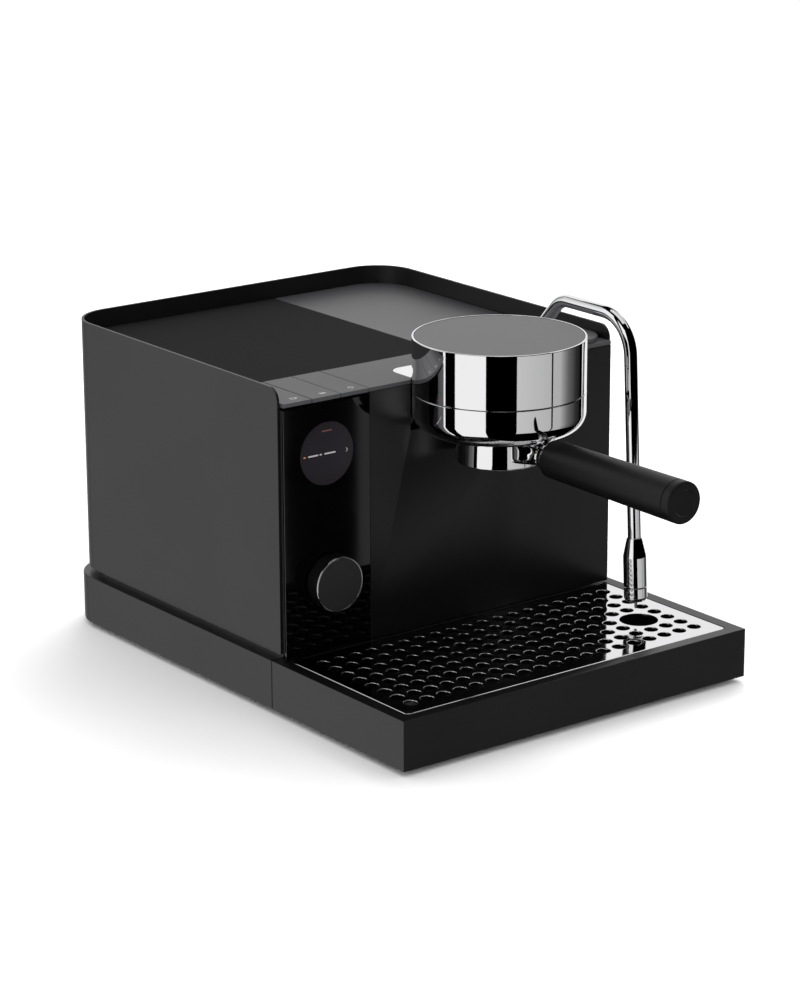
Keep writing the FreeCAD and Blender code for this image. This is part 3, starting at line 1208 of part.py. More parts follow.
# ---------------------------------------------------------------- inside
def make_boiler():
    """Heated water vessel on three short feet."""
    body = turned([(0, BOILER_LOW_Z), (BOILER_RADIUS, BOILER_LOW_Z), (BOILER_RADIUS, VALVE_Z),
                   (0, VALVE_Z)], [0, BOILER_FILLET, BOILER_FILLET, 0])
    reach = BOILER_RADIUS - BOILER_FOOT_INSET
    feet = []
    for step in range(BOILER_FOOT_COUNT):
        turn = 2 * math.pi * step / BOILER_FOOT_COUNT
        feet.append(rod(reach * math.cos(turn), reach * math.sin(turn), FRAME_FLOOR_Z,
                        BOILER_FOOT_RADIUS, BOILER_FOOT_HEIGHT + CUT))
    boiler = body.fuse(feet).removeSplitter()
    boiler.translate(V(BOILER_X, BOILER_Y, 0))
    return boiler


def make_pump():
    """Vibration pump lying along y, with a thinner outlet end."""
    body = rod(PUMP_X, PUMP_Y - PUMP_LENGTH / 2, PUMP_Z, PUMP_RADIUS, PUMP_LENGTH, Y_AXIS)
    outlet = rod(PUMP_X, PUMP_Y - PUMP_LENGTH / 2 - PUMP_OUTLET_LENGTH, PUMP_Z, PUMP_OUTLET_RADIUS,
                 PUMP_OUTLET_LENGTH + CUT, Y_AXIS)
    return body.fuse(outlet).removeSplitter()


def make_pump_mounts():
    """Rubber saddles between the pump and the frame floor."""
    mounts = []
    for side in (-1, 1):
        y = PUMP_Y + side * (PUMP_LENGTH / 2 - PUMP_MOUNT_INSET) - PUMP_MOUNT_WIDTH / 2
        half = PUMP_RADIUS + PUMP_MOUNT_MARGIN
        block = box(PUMP_X - half, PUMP_X + half, y, y + PUMP_MOUNT_WIDTH, FRAME_FLOOR_Z, PUMP_Z)
        mounts.append(block.cut(rod(PUMP_X, y - CUT, PUMP_Z, PUMP_RADIUS, PUMP_MOUNT_WIDTH + 2 * CUT,
                                    Y_AXIS)))
    return group(mounts)


def make_solenoid_valves():
    """Brew and steam valves on top of the boiler."""
    valves = []
    for side in (-1, 1):
        x = BOILER_X + side * VALVE_SPREAD
        block_top = VALVE_Z + VALVE_BLOCK_HEIGHT
        base = box(x - VALVE_HALF_WIDTH, x + VALVE_HALF_WIDTH, BOILER_Y - VALVE_HALF_DEPTH,
                   BOILER_Y + VALVE_HALF_DEPTH, VALVE_Z, block_top)
        coil = rod(x, BOILER_Y, block_top, COIL_RADIUS, COIL_HEIGHT)
        valves.append(base.fuse(coil).removeSplitter())
    return group(valves)


def make_flow_meter():
    body = rod(METER_X, METER_Y, FRAME_FLOOR_Z, METER_RADIUS, METER_HEIGHT)
    port = rod(METER_X, METER_Y, FRAME_FLOOR_Z + METER_HEIGHT - CUT, METER_PORT_RADIUS,
               METER_PORT_HEIGHT + CUT)
    return body.fuse(port).removeSplitter()


def make_water_tubes():
    """Tubes from meter to boiler and from valves to group and wand, end to end on fittings."""
    brew_x = BOILER_X - VALVE_SPREAD
    steam_x = BOILER_X + VALVE_SPREAD + VALVE_HALF_WIDTH
    valve_z = VALVE_Z + VALVE_BLOCK_HEIGHT / 2
    arm_z = (HEAD_BOTTOM_Z + ARM_TOP_Z) / 2
    cross_z = HEAD_BOTTOM_Z - HOSE_BELOW_HEAD
    turn_x = FRAME_WALL_X - HOSE_WALL_GAP
    brew_y = ARM_REAR_Y + BREW_HOSE_SETBACK
    brew = tube_along([V(brew_x, BOILER_Y - VALVE_HALF_DEPTH, valve_z), V(brew_x, brew_y, valve_z),
                       V(HEAD_X, brew_y, arm_z), V(HEAD_X, ARM_REAR_Y, arm_z)],
                      HOSE_RADIUS, [0, HOSE_BEND, HOSE_BEND, 0])
    steam = tube_along([V(steam_x, BOILER_Y, valve_z), V(turn_x, BOILER_Y, valve_z),
                        V(turn_x, WAND_BALL_Y, cross_z), V(WAND_X, WAND_BALL_Y, cross_z),
                        V(WAND_X, WAND_BALL_Y, STRIP_Z - SOCKET_DEPTH)],
                       HOSE_RADIUS, [0, HOSE_TIGHT_BEND, HOSE_WIDE_BEND, HOSE_WIDE_BEND, 0])
    feed_z = FRAME_FLOOR_Z + FEED_RISE
    boiler_rear = BOILER_Y + BOILER_RADIUS
    feed = tube_along([V(METER_X, METER_Y, FRAME_FLOOR_Z + METER_HEIGHT + METER_PORT_HEIGHT),
                       V(METER_X, METER_Y, feed_z), V(BOILER_X, boiler_rear + FEED_SETBACK, feed_z),
                       V(BOILER_X, boiler_rear, feed_z)],
                      HOSE_RADIUS, [0, HOSE_BEND, HOSE_BEND, 0])
    return group([brew, steam, feed])


def make_main_board():
    """Upright control and power board with its tall parts."""
    x = -FRAME_HALF + FRAME_T + BOARD_WALL_GAP
    face = x + BOARD_T
    board = box(x, face, BOARD_FRONT_Y, BOARD_REAR_Y, FRAME_FLOOR_Z + BOARD_FLOOR_GAP,
                FRAME_TOP_Z - BOARD_TOP_GAP)
    sink = box(face, face + SINK_DEPTH, SINK_FRONT_Y, SINK_REAR_Y, SINK_BOTTOM_Z, SINK_TOP_Z)
    relay = box(face, face + RELAY_DEPTH, RELAY_FRONT_Y, RELAY_REAR_Y, RELAY_BOTTOM_Z, RELAY_TOP_Z)
    capacitor = rod(face, CAPACITOR_Y, CAPACITOR_Z, CAPACITOR_RADIUS, CAPACITOR_LENGTH, X_AXIS)
    return board.fuse([sink, relay, capacitor]).removeSplitter()


def make_power_inlet():
    """Three-pin inlet in the rear of the shell, with a recess for the plug."""
    w = INLET_HALF_WIDTH
    h = INLET_HALF_HEIGHT
    bottom_y = INNER_REAR_Y - INLET_RECESS_DEPTH
    body = box(INLET_X - w, INLET_X + w, INNER_REAR_Y - INLET_DEPTH, SHELL_REAR_Y, INLET_Z - h, INLET_Z + h)
    flange = box(INLET_X - w - INLET_FLANGE, INLET_X + w + INLET_FLANGE, INNER_REAR_Y - INLET_FLANGE_T,
                 INNER_REAR_Y, INLET_Z - h - CUT, INLET_Z + h + CUT)
    recess = box(INLET_X - w + INLET_WALL, INLET_X + w - INLET_WALL, bottom_y, SHELL_REAR_Y + CUT,
                 INLET_Z - h + INLET_WALL, INLET_Z + h - INLET_WALL)
    pins = [box(INLET_X + dx - INLET_PIN_HALF_T, INLET_X + dx + INLET_PIN_HALF_T, bottom_y - CUT,
                bottom_y - CUT + INLET_PIN_LENGTH, INLET_Z + dz - INLET_PIN_HALF_HEIGHT,
                INLET_Z + dz + INLET_PIN_HALF_HEIGHT) for dx, dz in INLET_PINS]
    return body.fuse(flange).cut(recess).fuse(pins).removeSplitter()


def slotted_screw(x, y, z, axis):
    """A screw head that stands SCREW_HEAD along its axis, with a slot across it."""
    head = Part.makeCylinder(SCREW_RADIUS, SCREW_HEAD, V(0, 0, 0))
    slot = box(-SCREW_RADIUS, SCREW_RADIUS, -SCREW_SLOT / 2, SCREW_SLOT / 2,
               SCREW_HEAD - SCREW_SLOT_DEPTH, SCREW_HEAD + CUT)
    screw = head.cut(slot)
    screw.Placement = FreeCAD.Placement(V(x, y, z), FreeCAD.Rotation(Z_AXIS, axis))
    return screw


def make_screws():
    """Screws under the base plate and through the rear of the shell into the frame."""
    screws = []
    side_x = HALF_BASE - SCREW_SIDE_INSET
    for y in (TRAY_DEPTH + SCREW_END_INSET, BASE_DEPTH - SCREW_END_INSET - BASE_CORNER_R):
        for x in (-side_x, side_x):
            screws.append(slotted_screw(x, y, FOOT_HEIGHT, V(0, 0, -1)))
    for part in REAR_SCREW_PARTS:
        screws.append(slotted_screw(part * HALF_SHELL, SHELL_REAR_Y, SHELL_BOTTOM_Z + REAR_SCREW_RISE,
                                    Y_AXIS))
    return group(screws)


# ---------------------------------------------------------------- the whole model
def build_nodes():
    nodes = {
        "base_plinth": make_base_plinth(),
        "base_plate": make_base_plate(),
        "feet": make_feet(),
        "frame": make_frame(),
        "shell": make_shell(),
        "screws": make_screws(),
        "front_panel": make_front_panel(),
        "control_glass": make_control_glass(),
        "control_bezel": make_control_bezel(),
        "display_lens": make_display_lens(),
        "display_module": make_display_module(),
        "top_strip": make_top_strip(),
        "neck_plate": make_neck_plate(),
        "cup_deck": make_cup_deck(),
        "wand_pad": make_wand_pad(),
        "wand_socket": make_wand_socket(),
        "key_axle": make_key_axle(),
        "key_board": make_key_board(),
        "knob_encoder": make_knob_encoder(),
        "knob_shaft": make_knob_shaft(),
        "knob": make_knob(),
        "knob_face": make_knob_face(),
        "head_cap": make_head_cap(),
        "head_upper": make_head_upper(),
        "head_lower": make_head_lower(),
        "group_block": make_group_block(),
        "group_arm": make_group_arm(),
        "group_gasket": make_group_gasket(),
        "shower_screen": make_shower_screen(),
        "screen_screw": make_screen_screw(),
        "pf_ring": make_pf_ring(),
        "pf_basket": make_pf_basket(),
        "pf_neck": make_pf_neck(),
        "pf_ferrule": make_pf_ferrule(),
        "pf_rod": make_pf_rod(),
        "pf_grip": make_pf_grip(),
        "pf_end_cap": make_pf_end_cap(),
        "wand_tube": make_wand_tube(),
        "wand_sleeve": make_wand_sleeve(),
        "wand_tip": make_wand_tip(),
        "wand_probe": make_wand_probe(),
        "drip_tray": make_drip_tray(),
        "drip_plate": make_drip_plate(),
        "tray_float": make_tray_float(),
        "water_tank": make_water_tank(),
        "tank_valve": make_tank_valve(),
        "tank_seat": make_tank_seat(),
        "tank_lid": make_tank_lid(),
        "boiler": make_boiler(),
        "pump": make_pump(),
        "pump_mounts": make_pump_mounts(),
        "solenoid_valves": make_solenoid_valves(),
        "main_board": make_main_board(),
        "power_inlet": make_power_inlet(),
        "water_tubes": make_water_tubes(),
        "flow_meter": make_flow_meter(),
    }
    return nodes


def main():
    os.makedirs("parts", exist_ok=True)
    nodes = build_nodes()
    for index in range(KEY_COUNT):
        nodes["key_" + str(index + 1)] = make_key(index)
    for name, shape in nodes.items():
        shape.translate(V(0, -ORIGIN_Y, 0))
        shape.exportStep("parts/" + name + ".step")
        bounds = shape.BoundBox
        print(name, len(shape.Solids), "solids", "valid" if shape.isValid() else "NOT VALID",
              [round(v, 1) for v in (bounds.XMin, bounds.XMax, bounds.YMin, bounds.YMax,
                                     bounds.ZMin, bounds.ZMax)])
    print(len(nodes), "nodes; origin at y =", ORIGIN_Y)


if __name__ == "__main__":
    main()
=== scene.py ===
# %% [markdown]
# # A home espresso machine
# The machine is a low black box with a chrome group head in front.  Its exact sizes and moving
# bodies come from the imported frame.  This lesson gives every visible part its finished form:
# soft edges on folded sheet, true round sections on chrome, and a finish for each material.

# %% Load the frame and keep its box
import json
import math

import bmesh
import bpy
from mathutils import Matrix, Vector


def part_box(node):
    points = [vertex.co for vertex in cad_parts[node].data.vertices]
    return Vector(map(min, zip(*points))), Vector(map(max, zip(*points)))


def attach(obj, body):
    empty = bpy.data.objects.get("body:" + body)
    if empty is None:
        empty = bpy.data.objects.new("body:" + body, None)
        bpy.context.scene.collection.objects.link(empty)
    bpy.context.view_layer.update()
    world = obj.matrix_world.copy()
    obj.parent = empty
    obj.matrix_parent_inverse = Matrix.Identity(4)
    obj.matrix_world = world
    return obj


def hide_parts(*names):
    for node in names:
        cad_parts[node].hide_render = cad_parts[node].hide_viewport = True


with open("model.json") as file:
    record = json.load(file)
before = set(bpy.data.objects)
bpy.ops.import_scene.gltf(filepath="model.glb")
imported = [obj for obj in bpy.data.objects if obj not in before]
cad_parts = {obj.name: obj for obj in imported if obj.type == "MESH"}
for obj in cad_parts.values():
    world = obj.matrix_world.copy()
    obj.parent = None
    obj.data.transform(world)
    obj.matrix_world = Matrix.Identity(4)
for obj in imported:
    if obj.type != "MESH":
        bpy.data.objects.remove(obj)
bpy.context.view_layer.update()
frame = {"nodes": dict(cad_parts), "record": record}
MM = 0.001

# %% [markdown]
# ## Where things are
# Most places are read from the box of a CAD node, so such a piece lands exactly where the design says; a few
# heights and sizes are given as numbers.
# A few names for those boxes keep the later cells short.

# %% Places that many pieces share
head_low, head_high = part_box("head_upper")
HEAD = Vector(((head_low.x + head_high.x) / 2, (head_low.y + head_high.y) / 2, 0))
HEAD_RADIUS = (head_high.x - head_low.x) / 2
plate_low, plate_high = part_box("drip_plate")
grip_low, grip_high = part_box("pf_grip")
HANDLE = Vector((HEAD.x, 0, (grip_low.z + grip_high.z) / 2))
print("head centre", [round(v, 4) for v in HEAD], "radius", round(HEAD_RADIUS, 4))

# %% [markdown]
# ## Shader maths
# A material is a network of nodes, and writing each node by hand hides the idea.  A small class
# wraps one socket, so that an expression such as `1 - grain * 0.2` adds the Math nodes itself.
# One method makes any other node from its type, settings and inputs.

# %% A socket that can be used in expressions
class Wire:
    """One output socket; arithmetic on it adds Math nodes to the same tree."""

    def __init__(self, finish, socket):
        self.finish = finish
        self.socket = socket

    def maths(self, operation, *terms):
        return self.finish.node("ShaderNodeMath", {"operation": operation}, dict(enumerate(terms)))

    def __add__(self, other):
        return self.maths("ADD", self, other)

    def __sub__(self, other):
        return self.maths("SUBTRACT", self, other)

    def __rsub__(self, other):
        return self.maths("SUBTRACT", other, self)

    def __mul__(self, other):
        return self.maths("MULTIPLY", self, other)

    def __truediv__(self, other):
        return self.maths("DIVIDE", self, other)

    def __pow__(self, other):
        return self.maths("POWER", self, other)

    __radd__ = __add__
    __rmul__ = __mul__

    def clamped(self):
        return self.maths("MINIMUM", self.maths("MAXIMUM", self, 0.0), 1.0)


# %% A finish: one material and its tree
class Finish:
    """A Principled material; constants go straight to the shader's own sockets."""

    def __init__(self, name, **constants):
        self.material = bpy.data.materials.new(name)
        self.material.use_nodes = True
        self.tree = self.material.node_tree
        self.shader = self.tree.nodes["Principled BSDF"]
        for socket, value in constants.items():
            self.set(socket.replace("_", " "), value)

    def put(self, socket, value):
        if isinstance(value, Wire):
            self.tree.links.new(value.socket, socket)
        elif socket.type == "RGBA" and len(value) == 3:
            socket.default_value = (*value, 1.0)
        else:
            socket.default_value = value

    def node(self, kind, settings=None, inputs=None, output=0):
        made = self.tree.nodes.new(kind)
        for key, value in (settings or {}).items():
            if key == "stops":
                ramp = made.color_ramp
                while len(ramp.elements) < len(value):
                    ramp.elements.new(0.5)
                for element, (place, colour) in zip(ramp.elements, value):
                    element.position = place
                    element.color = colour
            else:
                setattr(made, key, value)
        for key, value in (inputs or {}).items():
            self.put(made.inputs[key], value)
        return Wire(self, made.outputs[output])

    def set(self, socket, value):
        self.put(self.shader.inputs[socket], value)
        return self

    def place(self):
        return self.node("ShaderNodeTexCoord", output="Object")

    def noise(self, scale, detail=2.0, roughness=0.5, stretch=None):
        where = self.place()
        if stretch is not None:
            where = self.node("ShaderNodeMapping", None, {"Vector": where, "Scale": stretch})
        return self.node("ShaderNodeTexNoise", None,
                         {"Vector": where, "Scale": scale, "Detail": detail, "Roughness": roughness})

    def mix(self, factor, first, second):
        return self.node("ShaderNodeMix", {"data_type": "RGBA"}, {0: factor, 6: first, 7: second},
                         output=2)

    def bump(self, height, distance, strength=1.0):
        normal = self.node("ShaderNodeBump", None,
                           {"Height": height, "Distance": distance, "Strength": strength})
        return self.set("Normal", normal)


print("shader maths ready")

# %% [markdown]
# ## Painted metal
# The shell, the base and the tray are powder coated: a satin film with a very fine orange peel.
# The grain is a noise about a third of a millimetre across, and a slow cloud varies the gloss a
# little, as a real film does over a large panel.

# %% Powder coat and satin paint
def painted(name, colour, roughness, grain=1.0, gloss_change=0.05, speck=0.12, shine=0.5):
    coat = Finish(name, Specular_IOR_Level=shine, IOR=1.5)
    cloud = coat.noise(9.0, detail=3.0)
    peel = coat.noise(2600.0, detail=2.0)
    flake = coat.noise(900.0, detail=4.0, roughness=0.7)
    darker = tuple(c * (1 - speck) for c in colour)
    lighter = tuple(c * (1 + speck) for c in colour)
    coat.set("Base Color", coat.mix((flake * 0.6 + cloud * 0.4).clamped(), darker, lighter))
    coat.set("Roughness", roughness - gloss_change + cloud * (2 * gloss_change) + peel * 0.03)
    coat.bump(peel * 0.7 + flake * 0.3, 0.00002 * grain, 0.6)
    return coat.material


powder_black = painted("powder_black", (0.0045, 0.0045, 0.0048), 0.38, shine=0.65)
panel_black = painted("panel_black", (0.0035, 0.0035, 0.0037), 0.30, grain=0.5)
strip_grey = painted("strip_grey", (0.062, 0.062, 0.065), 0.42, grain=0.6, shine=0.25)
deck_black = painted("deck_black", (0.014, 0.014, 0.015), 0.80, grain=1.6, shine=0.04)
lid_smoke = painted("lid_smoke", (0.048, 0.048, 0.051), 0.36, grain=0.4, shine=0.38)
print("paints", [m.name for m in (powder_black, panel_black, strip_grey, deck_black, lid_smoke)])

# %% [markdown]
# ## Chrome, mirror steel and brushed steel
# Chrome is fully metallic and almost without roughness.  What keeps it from looking computed is a
# faint haze that changes from place to place.  Mirror steel is the same with a little more haze,
# and brushed steel has noise drawn out along one direction.

# %% Metals
def polished(name, colour, roughness, haze):
    metal = Finish(name, Metallic=1.0)
    smear = metal.noise(22.0, detail=4.0, roughness=0.6)
    fine = metal.noise(600.0, detail=1.0)
    metal.set("Base Color", metal.mix(smear, tuple(c * 0.97 for c in colour), colour))
    metal.set("Roughness", roughness + smear * haze + fine * (haze * 0.4))
    return metal.material


def brushed(name, colour, roughness, along=(1.0, 60.0, 60.0), depth=0.000012):
    metal = Finish(name, Metallic=1.0)
    lines = metal.noise(90.0, detail=4.0, roughness=0.7, stretch=along)
    metal.set("Base Color", metal.mix(lines, tuple(c * 0.88 for c in colour), colour))
    metal.set("Roughness", roughness - 0.06 + lines * 0.12)
    metal.bump(lines, depth, 0.5)
    return metal.material


chrome = polished("chrome", (0.86, 0.86, 0.87), 0.015, 0.03)
mirror_steel = polished("mirror_steel", (0.78, 0.78, 0.79), 0.03, 0.04)
steel = brushed("steel", (0.55, 0.55, 0.56), 0.34)
brass = brushed("brass", (0.72, 0.52, 0.24), 0.32)
cast_steel = brushed("cast_steel", (0.35, 0.35, 0.36), 0.5, along=(1.0, 1.0, 1.0), depth=0.00005)
print("metals", [m.name for m in (chrome, mirror_steel, steel, brass, cast_steel)])

# %% [markdown]
# ## The cap of the group head
# The cap is a satin grey disc, turned on a lathe and then blasted.  A very weak ring pattern about
# the disc's own centre shows in the gloss when the light is low.

# %% Satin cap
def satin_cap():
    cap = Finish("satin_cap", Metallic=0.55, Specular_IOR_Level=0.5)
    centred = cap.node("ShaderNodeMapping", None, {"Vector": cap.place(), "Location": -HEAD})
    rings = cap.node("ShaderNodeTexWave", {"wave_type": "RINGS", "rings_direction": "Z"},
                     {"Vector": centred, "Scale": 700.0, "Distortion": 0.6, "Detail": 1.0}, output=1)
    blast = cap.noise(3000.0)
    cap.set("Base Color", cap.mix(blast, (0.100, 0.100, 0.104), (0.122, 0.122, 0.126)))
    cap.set("Roughness", 0.40 + rings * 0.03 + blast * 0.05)
    cap.bump(blast * 0.7 + rings * 0.3, 0.00001, 0.5)
    return cap.material


cap_grey = satin_cap()
print("cap", cap_grey.name)

# %% [markdown]
# ## Glass, display and plastics
# The control panel is black glass: an opaque body under a hard, smooth surface.  The display is a
# dark violet disc that glows slightly.  Plastics have a moulded grain and rubber a duller one.

# %% Glass and display
def glossy_glass():
    glass = Finish("black_glass", Specular_IOR_Level=0.5, IOR=1.5)
    wipe = glass.noise(30.0, detail=3.0)
    glass.set("Base Color", glass.mix(wipe, (0.0008, 0.0008, 0.0009), (0.0012, 0.0012, 0.0013)))
    glass.set("Roughness", 0.02 + wipe * 0.03)
    return glass.material


def display_glass():
    low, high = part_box("display_lens")
    centre = (low + high) / 2
    face = Finish("display_glass", Specular_IOR_Level=0.5, Emission_Strength=1.0)
    centred = face.node("ShaderNodeMapping", None, {"Vector": face.place(), "Location": -centre})
    distance = face.node("ShaderNodeVectorMath", {"operation": "LENGTH"}, {0: centred}, output="Value")
    edge = (distance / ((high.x - low.x) / 2)) ** 3.0
    dots = face.noise(5000.0)
    glow = face.mix(edge.clamped(), (0.0095, 0.0080, 0.0105), (0.0050, 0.0042, 0.0055))
    face.set("Base Color", (0.004, 0.0035, 0.0045))
    face.set("Emission Color", face.mix(dots * 0.2, glow, (0.014, 0.011, 0.015)))
    face.set("Roughness", 0.08 + dots * 0.02)
    return face.material


black_glass = glossy_glass()
display_face = display_glass()
print("glass", black_glass.name, display_face.name)


# %% Moulded plastics, rubber and lamps
def moulded(name, colour, roughness, grain_size=0.5, depth=0.00003, shine=0.5, **constants):
    plastic = Finish(name, Specular_IOR_Level=shine, **constants)
    spark = plastic.noise(1.0 / (grain_size * MM), detail=2.0)
    cloud = plastic.noise(14.0, detail=2.0)
    plastic.set("Base Color", plastic.mix(cloud, tuple(c * 0.9 for c in colour), colour))
    plastic.set("Roughness", roughness - 0.04 + cloud * 0.04 + spark * 0.06)
    plastic.bump(spark, depth, 0.5)
    return plastic.material


def glowing(name, colour, strength):
    lamp = Finish(name, Base_Color=(0.01, 0.01, 0.01), Emission_Strength=strength)
    fade = lamp.noise(400.0)
    lamp.set("Emission Color", lamp.mix(fade, tuple(c * 0.92 for c in colour), colour))
    lamp.set("Roughness", 0.3 + fade * 0.05)
    return lamp.material


grip_black = moulded("grip_black", (0.007, 0.007, 0.007), 0.42, 0.35, 0.00002, shine=0.25)
knob_black = moulded("knob_black", (0.005, 0.005, 0.0052), 0.28, 0.3, 0.00001, shine=0.5)
knob_face_grey = moulded("knob_face_grey", (0.015, 0.015, 0.0157), 0.38, 0.3, 0.00001, shine=0.3)
black_plastic = moulded("black_plastic", (0.018, 0.018, 0.018), 0.5)
soft_rubber = moulded("soft_rubber", (0.012, 0.012, 0.012), 0.75, 0.8, 0.00006)
board_green = moulded("board_green", (0.015, 0.10, 0.04), 0.45, 2.0)
tank_plastic = moulded("tank_plastic", (0.16, 0.17, 0.18), 0.15, 1.5, Transmission_Weight=0.6)
tube_white = moulded("tube_white", (0.72, 0.72, 0.69), 0.4, 1.0)
pale_ink = moulded("pale_ink", (0.62, 0.62, 0.62), 0.5, 0.4)
lamp_white = glowing("lamp_white", (0.9, 0.88, 0.9), 0.45)
lamp_orange = glowing("lamp_orange", (0.9, 0.30, 0.08), 0.5)
lamp_dim = glowing("lamp_dim", (0.30, 0.10, 0.09), 0.35)
print("plastics and lamps ready")

# %% [markdown]
# ## Making pieces
# Three ways cover the whole machine.  A folded or milled part starts from a merged copy of its CAD
# mesh, and a bevel gives its edges the small radius that catches light.  A round part is turned
# from its half section, with the corner radii in the section.  A part that repeats or follows a
# path is made by Geometry Nodes, further down.

# %% Finish a mesh as a piece that rides on its body
def body_of_node(node):
    bodies = frame["record"]["behaviour"]["bodies"]
    return next(body for body, nodes in bodies.items() if node in nodes)


def add_piece(name, mesh, material, node, replaces=True):
    piece = bpy.data.objects.new(name, mesh)
    bpy.context.scene.collection.objects.link(piece)
    mesh.materials.clear()
    mesh.materials.append(material)
    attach(piece, body_of_node(node))
    if replaces:
        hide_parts(node)
    return piece


def smooth_by_angle(mesh, degrees):
    mesh.polygons.foreach_set("use_smooth", [True] * len(mesh.polygons))
    mesh.set_sharp_from_angle(angle=math.radians(degrees))


# %% A bevelled copy of a CAD node
def soften(piece, width, segments=3, angle=30):
    edge = piece.modifiers.new("soft_edges", "BEVEL")
    edge.width = width * MM
    edge.segments = segments
    edge.limit_method = "ANGLE"
    edge.angle_limit = math.radians(angle)
    edge.harden_normals = True
    edge.miter_outer = "MITER_ARC"
    return piece


def merged_mesh(node, name, whole):
    """A copy of the node's triangles, joined up, with its flat faces made whole if that is asked.

    A flat face with many holes in it stays in triangles, because no single face can hold them."""
    work = bmesh.new()
    work.from_mesh(frame["nodes"][node].data)
    bmesh.ops.remove_doubles(work, verts=work.verts, dist=0.002 * MM)
    if whole:
        bmesh.ops.dissolve_limit(work, angle_limit=math.radians(0.5), verts=work.verts, edges=work.edges)
    mesh = bpy.data.meshes.new(name)
    work.to_mesh(mesh)
    work.free()
    return mesh


def from_cad(node, material, edge=0.4, segments=3, name=None, smooth=40, whole=True):
    mesh = merged_mesh(node, name or node + "_form", whole)
    smooth_by_angle(mesh, smooth)
    piece = add_piece(name or node + "_form", mesh, material, node)
    if edge:
        soften(piece, edge, segments)
    return piece


def flatten(piece, weight):
    """Lets the large faces decide the shading, so that they look flat up to their edges."""
    even = piece.modifiers.new("flat_faces", "WEIGHTED_NORMAL")
    even.keep_sharp = True
    even.weight = weight


# %% A turned part
def rounded_points(points, radii, step_degrees=12.0, closed=True):
    """The outline with each corner replaced by an arc of its radius."""
    outline = []
    count = len(points)
    for index, point in enumerate(points):
        here = Vector(point)
        radius = radii[index] if isinstance(radii, (list, tuple)) else radii
        if radius <= 0 or (not closed and index in (0, count - 1)):
            outline.append(here)
            continue
        before = (Vector(points[index - 1]) - here).normalized()
        after = (Vector(points[(index + 1) % count]) - here).normalized()
        half = before.angle(after) / 2
        reach = radius / math.tan(half)
        centre = here + (before + after).normalized() * (radius / math.sin(half))
        start = here + before * reach - centre
        end = here + after * reach - centre
        sweep = start.angle(end)
        steps = max(2, round(math.degrees(sweep) / step_degrees))
        for step in range(steps + 1):
            part = step / steps
            arm = start * (math.sin((1 - part) * sweep) / math.sin(sweep))
            arm = arm + end * (math.sin(part * sweep) / math.sin(sweep))
            outline.append(centre + arm)
    return outline


def turned_mesh(name, section, radii, place, around=160, step_degrees=12.0):
    """Turns a closed (radius, height) section about z, then puts it in place."""
    outline = rounded_points([(r * MM, h * MM) for r, h in section],
                             [r * MM for r in radii] if isinstance(radii, (list, tuple)) else radii * MM,
                             step_degrees)
    work = bmesh.new()
    rings = []
    for point in outline:
        if point.x < 1e-7:
            rings.append([work.verts.new((0, 0, point.y))])
            continue
        ring = []
        for step in range(around):
            turn = 2 * math.pi * step / around
            ring.append(work.verts.new((point.x * math.cos(turn), point.x * math.sin(turn), point.y)))
        rings.append(ring)
    for index, ring in enumerate(rings):
        other = rings[(index + 1) % len(rings)]
        if len(ring) == 1 and len(other) == 1:
            continue
        for step in range(around):
            following = (step + 1) % around
            if len(ring) == 1:
                work.faces.new((ring[0], other[following], other[step]))
            elif len(other) == 1:
                work.faces.new((ring[step], ring[following], other[0]))
            else:
                work.faces.new((ring[step], ring[following], other[following], other[step]))
    bmesh.ops.recalc_face_normals(work, faces=work.faces)
    mesh = bpy.data.meshes.new(name)
    work.to_mesh(mesh)
    work.free()
    mesh.transform(place)
    return mesh


def turned(node, material, section, radii, place, name=None, around=160, smooth=32, step_degrees=12.0):
    mesh = turned_mesh(name or node + "_form", section, radii, place, around, step_degrees)
    smooth_by_angle(mesh, smooth)
    piece = add_piece(name or node + "_form", mesh, material, node)
    flatten(piece, 80)
    return piece


UPRIGHT_HEAD = Matrix.Translation(HEAD)
print("helpers ready")

# %% [markdown]
# ## Base, shell and covers
# These are folded sheet and flat plates.  The real edges are broken by a few tenths of a
# millimetre, which draws the thin bright line along the rim, so every copy but the glass gets a narrow
# bevel.

# %% Sheet parts
sheet_parts = {
    "shell": (powder_black, 0.7),
    "base_plinth": (powder_black, 0.8),
    "drip_tray": (powder_black, 0.7),
    "front_panel": (panel_black, 0.35),
    "control_glass": (black_glass, 0.0),
    "control_bezel": (black_plastic, 0.3),
    "top_strip": (strip_grey, 0.35),
    "cup_deck": (deck_black, 0.5),
    "wand_pad": (strip_grey, 0.35),
    "neck_plate": (chrome, 0.3),
    "key_1": (strip_grey, 0.45),
    "key_2": (strip_grey, 0.45),
    "key_3": (strip_grey, 0.45),
    "tank_lid": (lid_smoke, 0.5),
}
for node, (material, edge) in sheet_parts.items():
    piece = from_cad(node, material, edge, whole=node != "shell")
    if node == "shell":
        flatten(piece, 100)
    print(piece.name, len(piece.data.polygons), "faces")

# %% [markdown]
# ## Group head
# The chrome drum is the part that the eye goes to.  Both halves are turned again with many steps,
# so that reflections run round them without facets.

